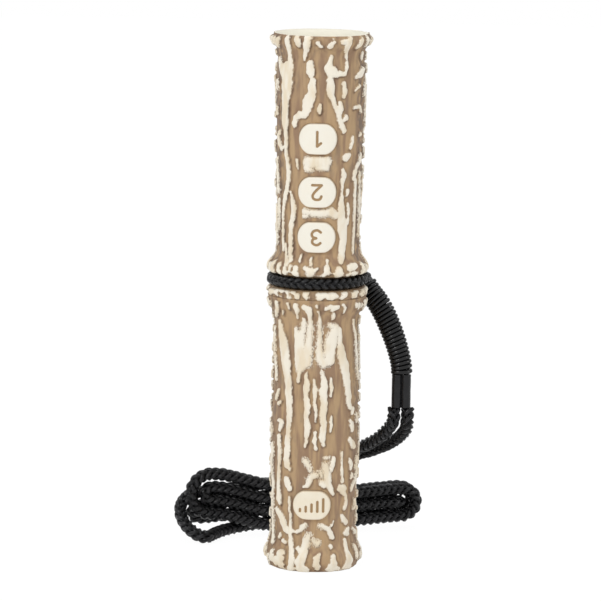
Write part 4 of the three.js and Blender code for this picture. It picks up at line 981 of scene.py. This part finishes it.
def stroke_depth(x, z, strokes, half):
    """Signed distance inside the strokes, in mm."""
    depth = np.full(x.shape, -5.0)
    for stroke in strokes:
        points = catmull([np.array(p) for p in stroke], 6) if len(stroke) > 3 else np.array(stroke, float)
        for (x0, z0), (x1, z1) in zip(points, points[1:]):
            dx, dz = x1 - x0, z1 - z0
            t = np.clip(((x - x0) * dx + (z - z0) * dz) / max(1e-9, dx * dx + dz * dz), 0, 1)
            depth = np.maximum(depth, half - np.hypot(x - x0 - t * dx, z - z0 - t * dz))
    return depth


def thumb_pad(node, middle, height, wall, sizes, finish):
    """A soft plug with a rounded crown, its mark sunk into it, and the flange that holds it in the wall."""
    turn = -1 if node != "volume_pad" else 1
    strokes = [[(turn * x, turn * z) for x, z in s] for s in NUMBER_STROKES.get(node, BAR_STROKES)]
    count = PAD_POINTS
    crown, engraving = wall + PAD_PROUD, sizes.engraving / MM
    edge = oval(PAD_WIDTH, height, count)
    # Each layer is the places across and up, the radius, and how much of the cut and of the rim lies there
    layers = []
    for k in range(1, PAD_RINGS + 1):
        share = 1 - (1 - k / PAD_RINGS) ** 1.15
        xz = edge * share
        to_edge = (1 - share) * height / 2
        depth = stroke_depth(xz[:, 0], xz[:, 1], strokes, MARK_HALF)
        radius = crown - edge_drop(PAD_EDGE_R, to_edge) + PAD_DOME * (1 - share**2)
        radius = radius - engraving * smooth(depth, -0.14, 0.16)
        layers.append((xz, radius, np.clip(depth + 0.06, 0, 1), np.full(count, max(0, 1 - to_edge / 0.35))))
    wide = oval(PAD_WIDTH + FLANGE_WIDER, height + FLANGE_WIDER, count)
    back = PAD_BORE - FLANGE_THICK
    for xz, r in ((edge, crown - 1.4), (edge, PAD_BORE), (wide, PAD_BORE), (wide, back), (wide * 0.5, back)):
        layers.append((xz, np.full(count, r), np.zeros(count), np.ones(count)))
    top = -crown - PAD_DOME
    sunk = stroke_depth(np.zeros(1), np.zeros(1), strokes, MARK_HALF)[0] > 0
    points = [(0, top + engraving if sunk else top, middle)]
    cuts, rims = [0.3 if sunk else 0.0], [0.0]
    for xz, radius, cut_depth, rim in layers:
        y = -np.sqrt(radius**2 - xz[:, 0] ** 2)
        points += list(zip(xz[:, 0], y, middle + xz[:, 1]))
        cuts += list(cut_depth)
        rims += list(rim)
    points.append((0, -back, middle))
    cuts.append(0.0)
    rims.append(1.0)
    faces = [[0, 1 + i, 1 + (i + 1) % count] for i in range(count)]
    for k in range(len(layers) - 1):
        a, b = 1 + k * count, 1 + (k + 1) * count
        faces += [[a + i, b + i, b + (i + 1) % count, a + (i + 1) % count] for i in range(count)]
    last = 1 + (len(layers) - 1) * count
    faces += [[len(points) - 1, last + (i + 1) % count, last + i] for i in range(count)]
    return outward(mesh_object(node + "_moulding", points, faces, finish, {"cut": cuts, "rim": rims}))


# Cords


def hank_place(u, z, depth):
    """A place in the hank: u along its rows, at height z, this deep behind its front layer."""
    return np.array([*HANK_PLACE, z]) + u * HANK_ALONG + depth * HANK_BACK


def row_z(half_turns):
    """Height at the waist of the row after this many half turns: the outermost rows come first."""
    inwards = half_turns * HANK_PITCH / 2
    middle = HANK_ROW_LOW_Z + 1.25 * HANK_PITCH
    if half_turns % 2 == 0:
        return middle + 1.75 * HANK_PITCH - inwards
    return middle - 1.75 * HANK_PITCH + inwards


def hank_layer(left_bulb, depth, run_steps=8, bight_steps=20):
    """One layer of the hank, from the top of its waist leftwards and round, as its solid lies."""
    places = []
    half = 0
    while half < HANK_TURNS * 2:
        left = half % 2 == 0
        sign, upward = (-1, 1) if left else (1, -1)
        reach, bulb_z, bulb_r, forward = left_bulb if left else RIGHT_BULB
        forward = forward if half == 0 else 0
        r = bulb_r - (half // 2) * HANK_PITCH
        from_z, to_z = row_z(half), row_z(half + 1)
        last = half + 1 > HANK_TURNS * 2
        if last:
            reach *= HANK_TURNS * 2 - half
        for k in range(1 if half == 0 else 0, run_steps):
            t = k / run_steps
            height = mix(from_z, bulb_z if last else bulb_z + upward * r, t * t * (3 - 2 * t))
            places.append(hank_place(sign * mix(HANK_WAIST_HALF, reach, t), height, depth))
        if last:
            places.append(hank_place(sign * reach, bulb_z, depth))
            break
        for k in range(bight_steps + 1):
            a = math.pi * k / bight_steps
            height = bulb_z + upward * r * math.cos(a)
            ahead = forward * float(smooth(a, math.pi / 3, math.pi))
            places.append(hank_place(sign * (reach + r * math.sin(a)), height, depth - ahead))
        for k in range(1, run_steps + 1):
            t = 1 - k / run_steps
            height = mix(to_z, bulb_z - upward * r, t * t * (3 - 2 * t))
            places.append(hank_place(sign * mix(HANK_WAIST_HALF, reach, t), height, depth - forward * t**3.5))
        half += 1
    return places


def lead_route(side, route, depth):
    """From the ferrule's mouth down behind the call to the hank's top row."""
    x, y, _ = LEAVE_POINTS[-1]
    top = np.array([x + side * LEAD_PITCH / 2, y, FERRULE_HIGH_Z - LEAD_DROP])
    low = top - np.array([0, 0, CORD_D])
    joined = CORD_D - HANK_WAIST_HALF + 0.3
    end = hank_place(joined, row_z(0), depth)
    near = hank_place(joined + CORD_D * 0.75, row_z(0), depth)
    return [top, *catmull([low, *route, near], 10), end]


def neck_cord_route():
    """The whole neck cord: down one lead, through the doubled hank and back up the other lead."""
    front = hank_layer(FRONT_BULB, 0)
    back = hank_layer(BACK_BULB, HANK_PITCH)
    middle = (front[-1] + back[-1]) / 2
    fold = []
    for k in range(FOLD_STEPS + 1):
        a = math.pi * k / FOLD_STEPS
        ahead = FOLD_AHEAD + FOLD_R * math.sin(a)
        fold.append(middle - HANK_BACK * math.cos(a) * FOLD_R + HANK_ALONG * ahead)
    lead_a, lead_b = lead_route(-1, LEAD_A_ROUTE, 0), lead_route(1, LEAD_B_ROUTE, HANK_PITCH)
    path = np.array([*lead_a, *front, *fold, *back[::-1], *lead_b[::-1]])
    return soften(resample(path, 0.8), 3)


class Leave:
    """The middle line of the two whipped strands, by its share of the way down."""

    points = catmull(LEAVE_POINTS, 24)
    along = run_along(points)
    length = float(along[-1])

    @classmethod
    def at(cls, t):
        return np.array([np.interp(t * cls.length, cls.along, cls.points[:, k]) for k in range(3)])

    @classmethod
    def frame(cls, t):
        """Place, sideways and depth directions."""
        step = 0.006
        tangent = cls.at(min(1, t + step)) - cls.at(max(0, t - step))
        tangent /= np.linalg.norm(tangent)
        side = np.cross([0, 1, 0], tangent)
        side /= np.linalg.norm(side)
        depth = np.cross(tangent, side)
        return cls.at(t), side, depth / np.linalg.norm(depth)


def noose_route():
    """Up one strand, round the groove and down the other, with the squeeze of the whipping as a factor."""
    near, far = [], []
    for k in range(STRAND_STEPS + 1):
        place, side, _ = Leave.frame(1 - k / STRAND_STEPS * STRAND_SHARE)
        near.append(place - side * STRAND_PITCH / 2)
        far.append(place + side * STRAND_PITCH / 2)
    round_groove = []
    ring_end = RING_TO - 360
    for k in range(RING_STEPS + 1):
        a = mix(RING_FROM, ring_end, k / RING_STEPS)
        to_end = min(RING_FROM - a, a - ring_end)
        r = mix(LEAVE_R, RING_R, float(smooth(to_end, 0, RING_OPENS)))
        round_groove.append(np.array([r * math.cos(a * DEG), r * math.sin(a * DEG), RING_Z]))
    path = np.array(near + round_groove + far[::-1])
    whipped = run_along(path)[STRAND_STEPS]
    path = soften(resample(path, 0.5), 6)
    along = run_along(path)
    from_end = np.minimum(along, along[-1] - along)
    return path, mix(STRAND_D / CORD_D, 1.0, smooth(from_end, whipped, whipped + 10))


def whipping_route(sizes, steps=24):
    """The thin cord's oval turns round both strands."""
    reach = STRAND_D / 2 + sizes.wire / MM / 2 - 0.1
    half = steps // 2
    points = []
    for i in range(WHIP_TURNS * steps + half + 1):
        t = (WHIP_FROM * Leave.length + i / steps * WHIP_PITCH) / Leave.length
        place, side, depth = Leave.frame(t)
        spread = -0.45 + 1.1 * float(smooth(t, WHIP_FROM, 0.28)) - 0.4 * float(smooth(t, 0.4, 1.0))
        wide = STRAND_PITCH / 2 + reach + spread
        sign = 1 if (i // half) % 2 == 0 else -1
        a = math.pi * ((i % half) / (half - 1) - 0.5)
        points.append(place + side * sign * wide * math.cos(a) + depth * sign * 1.1 * reach * math.sin(a))
    return soften(np.array(points), 2)


def poly_curve(name, path, thin=None):
    """An open poly curve in metres."""
    data = bpy.data.curves.new(name, "CURVE")
    data.dimensions = "3D"
    spline = data.splines.new("POLY")
    spline.points.add(len(path) - 1)
    spline.points.foreach_set("co", np.c_[path * MM, np.ones(len(path))].ravel())
    if thin is not None:
        spline.points.foreach_set("radius", np.asarray(thin, float))
    return linked(name, data)


def new_tree(name, inputs):
    """An empty Geometry Nodes tree with a geometry input, these inputs and a geometry output."""
    tree = bpy.data.node_groups.new(name, "GeometryNodeTree")
    tree.interface.new_socket("Path", in_out="INPUT", socket_type="NodeSocketGeometry")
    for label, kind, value in inputs:
        socket = tree.interface.new_socket(label, in_out="INPUT", socket_type=kind)
        if value is not None:
            socket.default_value = value
    tree.interface.new_socket("Mesh", in_out="OUTPUT", socket_type="NodeSocketGeometry")
    return tree, tree.nodes.new("NodeGroupInput").outputs


def end_tree(tree, geometry, given):
    """Every tree ends in Realize Instances and Set Material."""
    real = add(tree, "GeometryNodeRealizeInstances", [geometry])[0]
    painted = add(tree, "GeometryNodeSetMaterial", {"Geometry": real, "Material": given["Material"]})[0]
    add(tree, "NodeGroupOutput", [painted])
    return tree


def round_tube(tree, curve, radius, sides, given):
    """A tube along the curve that keeps its place round the section in the attribute around."""
    circle = add(tree, "GeometryNodeCurvePrimitiveCircle", {"Radius": 1.0, "Resolution": sides})["Curve"]
    kept = tree.nodes.new("GeometryNodeCaptureAttribute")
    kept.capture_items.new("FLOAT", "around")
    feed(tree, kept, [circle, add(tree, "GeometryNodeSplineParameter")["Factor"]])
    inputs = {"Curve": curve, "Profile Curve": kept.outputs[0], "Scale": radius, "Fill Caps": True}
    skin = add(tree, "GeometryNodeCurveToMesh", inputs)[0]
    inputs = {"Name": "around", "Geometry": skin, "Value": kept.outputs[1]}
    marked = add(tree, "GeometryNodeStoreNamedAttribute", inputs, data_type="FLOAT", domain="POINT")[0]
    return end_tree(tree, marked, given)


def braid_tree():
    """Eight strands, four each way, that pass over two and under two along the path."""
    tree, given = new_tree("braid", [
        ("Pitch", "NodeSocketFloat", 10.8 * MM), ("Cord Radius", "NodeSocketFloat", 2.5 * MM),
        ("Strand Radius", "NodeSocketFloat", 0.84 * MM), ("Strands", "NodeSocketInt", 8),
        ("Steps", "NodeSocketInt", 22), ("Turn", "NodeSocketFloat", 0.0),
        ("Material", "NodeSocketMaterial", None),
    ])
    step = add(tree, "ShaderNodeMath", [given["Pitch"], given["Steps"]], operation="DIVIDE")[0]
    even = add(tree, "GeometryNodeResampleCurve", {"Curve": given["Path"], "Length": step}, mode="LENGTH")[0]
    inputs = {"Geometry": even, "Amount": given["Strands"]}
    copies = add(tree, "GeometryNodeDuplicateElements", inputs, domain="SPLINE")
    kept = tree.nodes.new("GeometryNodeCaptureAttribute")
    for name in ("thin", "crown"):
        kept.capture_items.new("FLOAT", name)
    known = {
        "index": copies[1], "along": add(tree, "GeometryNodeSplineParameter")["Length"],
        "pitch": given["Pitch"], "cord": given["Cord Radius"], "strand": given["Strand Radius"],
        "turn": given["Turn"], "thin": kept.outputs[1],
    }
    # Each result is (its name, operation, first, second), where a name stands for what is known by then
    for name, operation, first, second in (
        ("odd", "MODULO", "index", 2),
        ("twice", "MULTIPLY", "odd", 2),
        ("way", "SUBTRACT", 1, "twice"),
        ("half", "DIVIDE", "index", 2),
        ("pair", "FLOOR", "half", 0),
        ("start", "MULTIPLY", "pair", math.pi / 2),
        ("rounds", "DIVIDE", "along", "pitch"),
        ("swing", "MULTIPLY", "rounds", 2 * math.pi),
        ("angle", "MULTIPLY", "swing", "way"),
        ("angle", "ADD", "angle", "start"),
        ("angle", "ADD", "angle", "turn"),
        ("lag", "MULTIPLY", "way", math.pi / 4),
        ("lag", "ADD", "lag", -math.pi / 2),
        ("opposed", "MULTIPLY", "pair", math.pi),
        ("lag", "ADD", "lag", "opposed"),
        ("wave", "MULTIPLY", "swing", 2),
        ("wave", "ADD", "wave", "lag"),
        ("wave", "COSINE", "wave", 0),
        ("inset", "MULTIPLY", "strand", 1 + BRAID_WAVE),
        ("middle", "SUBTRACT", "cord", "inset"),
        ("swung", "MULTIPLY", "wave", "strand"),
        ("swung", "MULTIPLY", "swung", BRAID_WAVE),
        ("reach", "ADD", "middle", "swung"),
        ("reach", "MULTIPLY", "reach", "thin"),
        ("across", "COSINE", "angle", 0),
        ("across", "MULTIPLY", "across", "reach"),
        ("over", "SINE", "angle", 0),
        ("over", "MULTIPLY", "over", "reach"),
        ("radius", "MULTIPLY", "strand", "thin"),
    ):
        pair = [known.get(value, value) for value in (first, second)]
        known[name] = add(tree, "ShaderNodeMath", pair, operation=operation)[0]
    feed(tree, kept, [copies[0], add(tree, "GeometryNodeInputRadius")[0], known["wave"]])
    normal = add(tree, "GeometryNodeInputNormal")[0]
    tangent = add(tree, "GeometryNodeInputTangent")[0]
    crossed = add(tree, "ShaderNodeVectorMath", [tangent, normal], operation="CROSS_PRODUCT")[0]
    parts = [
        add(tree, "ShaderNodeVectorMath", {0: direction, "Scale": known[name]}, operation="SCALE")[0]
        for direction, name in ((normal, "across"), (crossed, "over"))
    ]
    offset = add(tree, "ShaderNodeVectorMath", parts, operation="ADD")[0]
    moved = add(tree, "GeometryNodeSetPosition", {"Geometry": kept.outputs[0], "Offset": offset})[0]
    level = add(tree, "GeometryNodeSetCurveRadius", {"Curve": moved, "Radius": 1.0})[0]
    inputs = {"Name": "crown", "Geometry": level, "Value": kept.outputs[2]}
    marked = add(tree, "GeometryNodeStoreNamedAttribute", inputs, data_type="FLOAT", domain="POINT")[0]
    return round_tube(tree, marked, known["radius"], 5, given)


def wire_tree():
    """A plain round cord along the path."""
    tree, given = new_tree("wire", [
        ("Radius", "NodeSocketFloat", 0.5 * MM), ("Material", "NodeSocketMaterial", None),
    ])
    level = add(tree, "GeometryNodeSetCurveRadius", {"Curve": given["Path"], "Radius": 1.0})[0]
    return round_tube(tree, level, given["Radius"], 12, given)


def grow(curve, tree, values):
    """Runs the tree on the curve and returns its result as a plain mesh object."""
    modifier = curve.modifiers.new("grow", "NODES")
    modifier.node_group = tree
    for socket in tree.interface.items_tree:
        if socket.item_type == "SOCKET" and socket.in_out == "INPUT" and socket.name in values:
            modifier[socket.identifier] = values[socket.name]
    graph = bpy.context.evaluated_depsgraph_get()
    mesh = bpy.data.meshes.new_from_object(curve.evaluated_get(graph))
    if not len(mesh.polygons):
        raise RuntimeError(curve.name + " grew no mesh")
    mesh.polygons.foreach_set("use_smooth", [True] * len(mesh.polygons))
    made = linked(curve.name + "_cord", mesh)
    bpy.data.objects.remove(curve)
    return made


def ferrule(finish):
    """A moulded figure-eight ferrule, crimped twice on its left tube, with an open mouth on each tube."""
    count, rows, mouth_count = 96, 72, 40
    apart = FERRULE_PITCH / 2
    theta = 2 * math.pi * np.arange(count) / count
    section = apart * np.abs(np.cos(theta)) + np.sqrt(FERRULE_LOBE_R**2 - (apart * np.sin(theta)) ** 2)
    points = []
    for k in range(rows + 1):
        z = k / rows * FERRULE_LENGTH
        r = section - edge_drop(FERRULE_EDGE_R, min(z, FERRULE_LENGTH - z))
        for dent_z, dent_a, depth in FERRULE_DENTS:
            turned = (theta / DEG - dent_a + 180) % 360 - 180
            r = r - depth * np.exp(-((turned / 26) ** 2) - ((z - dent_z) / 1.25) ** 2)
        r = r - 0.06 * np.exp(-(((z - 11.2) / 0.3) ** 2))
        points += list(zip(r * np.cos(theta), r * np.sin(theta), np.full(count, z)))
    centre = np.array([*LEAVE_POINTS[-1][:2], FERRULE_HIGH_Z - FERRULE_LENGTH])
    points = np.array(points) + centre
    made = outward(mesh_object("crimped_ferrule", points, prism_faces(count, rows), finish))
    a = 2 * math.pi * np.arange(mouth_count) / mouth_count
    for side in (-1, 1):
        ring = np.stack([FERRULE_MOUTH_R * np.cos(a) + side * apart, FERRULE_MOUTH_R * np.sin(a)], -1)
        points = np.array([(x, y, z) for z in (-1, FERRULE_LENGTH + 1) for x, y in ring]) + centre
        cut(made, outward(mesh_object("mouth_tool", points, prism_faces(mouth_count), finish)))
    return made


def hank_band(finish):
    """A ribbed elastic band round the waist of the hank."""
    wide, tall = (HANK_PITCH + CORD_D) / 2 + BAND_CLEAR, HANK_PITCH + CORD_D / 2 + BAND_CLEAR
    corner = CORD_D / 2 + BAND_CLEAR
    loop = []
    for quarter, (right, up) in enumerate(((1, 1), (-1, 1), (-1, -1), (1, -1))):
        middle_x, middle_y = right * (wide - corner), up * (tall - corner)
        for k in range(17):
            a = (90 * quarter + 90 * k / 16) * DEG
            loop.append((middle_x + corner * math.cos(a), middle_y + corner * math.sin(a)))
    loop = resample(np.array(loop + loop[:1]), 0.35)[:-1]
    tangent = np.roll(loop, -1, 0) - np.roll(loop, 1, 0)
    out = np.stack([tangent[:, 1], -tangent[:, 0]], -1) / np.linalg.norm(tangent, axis=1)[:, None]
    section = []
    for k in range(40):
        a = 2 * math.pi * k / 40
        along = BAND_HALF_WIDTH * math.copysign(abs(math.cos(a)) ** 0.55, math.cos(a))
        lift = BAND_MIDDLE + BAND_HALF_THICK * math.copysign(abs(math.sin(a)) ** 0.6, math.sin(a))
        rib = BAND_RIB * math.cos(along * 5.2) if lift > BAND_MIDDLE else 0
        section.append((along, lift + rib))
    centre = hank_place(0, HANK_ROW_LOW_Z + HANK_PITCH, HANK_PITCH / 2)
    points = []
    for (x, y), (out_x, out_y) in zip(loop, out):
        for along, lift in section:
            height = np.array([0, 0, y + out_y * lift])
            points.append(centre + HANK_BACK * (x + out_x * lift) + height + HANK_ALONG * along)
    return outward(mesh_object("hank_elastic_band", points, torus_faces(len(loop), len(section)), finish))


# Stage


def add_camera(scene, turn):
    """The camera that looks at the call as the picture does."""
    forward = Vector((0, math.cos(CAMERA_PITCH), -math.sin(CAMERA_PITCH)))
    level_up = Vector((0, math.sin(CAMERA_PITCH), math.cos(CAMERA_PITCH)))
    level_right = Vector((1, 0, 0))
    right = math.cos(CAMERA_ROLL) * level_right + math.sin(CAMERA_ROLL) * level_up
    up = -math.sin(CAMERA_ROLL) * level_right + math.cos(CAMERA_ROLL) * level_up
    axes = Matrix((right, up, -forward)).transposed().to_4x4()
    data = bpy.data.cameras.new("camera")
    data.sensor_width, data.lens = SENSOR, SENSOR * FOCAL_PX / PICTURE_PX
    data.clip_end = 20
    camera = linked("camera", data)
    camera.matrix_world = turn @ Matrix.Translation(Vector(CAMERA_PLACE) * MM) @ axes
    scene.camera = camera


def add_world(scene):
    """A world that lights softly and shows as white."""
    world = bpy.data.worlds.new("studio")
    world.use_nodes = True
    scene.world = world
    tree = world.node_tree
    light = tree.nodes["Background"]
    feed(tree, light, {"Color": (1, 1, 1, 1), "Strength": WORLD_LIGHT})
    seen = add(tree, "ShaderNodeBackground", {"Color": (1, 1, 1, 1), "Strength": 1.0})[0]
    joined = add(tree, "ShaderNodeMixShader", [seen_rays(tree), light.outputs[0], seen])[0]
    feed(tree, tree.nodes["World Output"], {"Surface": joined})


def add_lamp(turn, name, place, size, power):
    """A square lamp that faces the call."""
    data = bpy.data.lights.new(name, "AREA")
    data.shape, data.size, data.energy = "SQUARE", size, power
    lamp = linked(name, data)
    lamp.location = turn @ Vector(place)
    aim = Vector(LAMP_AIM) - lamp.location
    lamp.rotation_euler = aim.to_track_quat("-Z", "Y").to_euler()


# Operators


class DEERCALL_OT_stage(bpy.types.Operator):
    """Makes the camera, the floor, the world and the lamps"""

    bl_idname = "deercall.stage"
    bl_label = "Stage"

    def execute(self, context):
        scene = context.scene
        scene.view_settings.view_transform = "Standard"
        turn = Matrix.Rotation(VIEW_TURN, 4, "Z")
        add_camera(scene, turn)
        add_world(scene)
        corners = [(FLOOR_HALF * x, FLOOR_HALF * y, FLOOR_Z) for x, y in ((-1, -1), (1, -1), (1, 1), (-1, 1))]
        floor = mesh_object("floor", corners, [[0, 1, 2, 3]], white_paper())
        for lamp in LAMPS:
            add_lamp(turn, *lamp)
        return {"FINISHED"}


class DEERCALL_OT_lanyard(bpy.types.Operator):
    """Makes the braided neck cord, its noose, whipping, ferrule and band"""

    bl_idname = "deercall.lanyard"
    bl_label = "Lanyard"

    def execute(self, context):
        sizes, colours = context.scene.deercall_sizes, context.scene.deercall_colours
        braid = braided_polyester(colours)
        tree = braid_tree()
        values = {
            "Pitch": sizes.braid_pitch, "Cord Radius": sizes.braid * 1.04,
            "Strand Radius": sizes.strand * 1.04, "Material": braid,
        }
        path = neck_cord_route()
        neck = grow(poly_curve("neck", path), tree, {**values, "Steps": 22})
        neck.name = "neck_cord"
        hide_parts("neck_cord_lead_a", "neck_cord_lead_b", "neck_cord_hank")
        route, thin = noose_route()
        squeezed = {**values, "Cord Radius": sizes.braid * 0.92, "Steps": 26, "Turn": 22.5 * DEG}
        noose = grow(poly_curve("noose", route, thin), tree, squeezed)
        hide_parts("lanyard_noose")
        gloss = plastic("whipping_gloss_cord", "060607", 0.24, 0.6, 0.36)
        values = {"Radius": sizes.wire / 2, "Material": gloss}
        coil = grow(poly_curve("whipping", whipping_route(sizes)), wire_tree(), values)
        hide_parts("noose_whipping")
        crimp = ferrule(plastic("ferrule_moulded_plastic", "131315", 0.3, 0.5, 0.3))
        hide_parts("lanyard_ferrule")
        band = hank_band(plastic("band_elastic_rubber", "141415", 0.75, 0.25, 0.15))
        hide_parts("hank_tie")
        for piece, slot in (
            (neck, "braid"), (noose, "braid"), (coil, "whipping_cord"), (crimp, "ferrule_plastic"),
            (band, "elastic"),
        ):
            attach(piece, "lanyard")
        return {"FINISHED"}


class DEERCALL_OT_barrels(bpy.types.Operator):
    """Makes the two antler-moulded barrels"""

    bl_idname = "deercall.barrels"
    bl_label = "Barrels"

    def execute(self, context):
        sizes, colours = context.scene.deercall_sizes, context.scene.deercall_colours
        finish = antler_moulding(colours)
        lower = barrel(
            "lower_antler_moulding", LOWER_OUTSIDE, LOWER_INSIDE, PADS[3:], sizes, finish, seed=11,
            calm=(-1.0, 99.9), flares=[(4.0, 2.6), (97, 1.6)], bands=[(98.9, 101, -1.0), (-1, 1.6, 0.2)],
        )
        upper = barrel(
            "upper_antler_moulding", UPPER_OUTSIDE, UPPER_INSIDE, PADS[:3], sizes, finish, seed=23,
            calm=(99.4, 196.0), flares=[(192.4, 1.6), (110.6, 1.6), (101.6, 0.9)],
            bands=[(100.3, 103.4, 0.2), (108.2, 110.2, 0.3), (193.9, 196, -0.2)],
        )
        for piece, node, body in ((lower, "lower_barrel", "lower"), (upper, "upper_barrel", "upper")):
            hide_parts(node)
            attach(piece, body)
        return {"FINISHED"}


class DEERCALL_OT_pads(bpy.types.Operator):
    """Makes the four thumb pads with their sunk marks"""

    bl_idname = "deercall.pads"
    bl_label = "Thumb pads"

    def execute(self, context):
        sizes, colours = context.scene.deercall_sizes, context.scene.deercall_colours
        tone = pad_rubber("pad_moulded_rubber", linear("F9F4E6"), colours)
        volume = pad_rubber("volume_pad_moulded_rubber", linear("F5EAD3"), colours)
        for node, middle, height, wall in PADS:
            piece = thumb_pad(node, middle, height, wall, sizes, volume if node == "volume_pad" else tone)
            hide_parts(node)
            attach(piece, node.replace("_pad", "_key"))
        return {"FINISHED"}


class DEERCALL_OT_reed_parts(bpy.types.Operator):
    """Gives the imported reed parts, pins and choke their finishes"""

    bl_idname = "deercall.reed_parts"
    bl_label = "Reed parts"

    def execute(self, context):
        hard = plastic("tone_board_moulded_styrene", "2B2B2D", 0.4, 0.5)
        film = plastic("reed_polyester_film", "DDE1E2", 0.22, 0.8)
        soft = plastic("wedge_soft_rubber", "E6DAC2", 0.7, 0.4, 0.35)
        elastic = plastic("seal_black_rubber", "161616", 0.7, 0.3, 0.35)
        finishes = {
            "tone_board": hard, "fawn_pin": hard, "doe_pin": hard, "young_buck_pin": hard,
            "volume_choke": hard, "reed": film, "reed_wedge": soft, "reed_band": elastic,
            "stem_seal": elastic,
        }
        for node, finish in finishes.items():
            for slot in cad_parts[node].material_slots:
                slot.material = finish
        return {"FINISHED"}


class DEERCALL_PT_panel(bpy.types.Panel):
    """Lists the deer call's pieces, sizes and colours"""

    bl_idname = "DEERCALL_PT_panel"
    bl_label = "Deer call"
    bl_space_type = "VIEW_3D"
    bl_region_type = "UI"
    bl_category = "Deer call"

    def draw(self, context):
        for group in (context.scene.deercall_sizes, context.scene.deercall_colours):
            box = self.layout.box()
            for key in group.__annotations__:
                box.prop(group, key)
        for operator in OPERATORS:
            self.layout.operator(operator.bl_idname)


OPERATORS = (
    DEERCALL_OT_stage, DEERCALL_OT_lanyard, DEERCALL_OT_barrels, DEERCALL_OT_pads, DEERCALL_OT_reed_parts,
)
CLASSES = (CallSizes, CallColours, *OPERATORS, DEERCALL_PT_panel)


def register():
    for cls in CLASSES:
        bpy.utils.register_class(cls)
    bpy.types.Scene.deercall_sizes = bpy.props.PointerProperty(type=CallSizes)
    bpy.types.Scene.deercall_colours = bpy.props.PointerProperty(type=CallColours)


def unregister():
    del bpy.types.Scene.deercall_colours
    del bpy.types.Scene.deercall_sizes
    for cls in reversed(CLASSES):
        bpy.utils.unregister_class(cls)


def main():
    register()
    bpy.ops.deercall.stage()
    bpy.ops.deercall.lanyard()
    bpy.ops.deercall.barrels()
    bpy.ops.deercall.pads()
    bpy.ops.deercall.reed_parts()


if __name__ == "__main__":
    main()
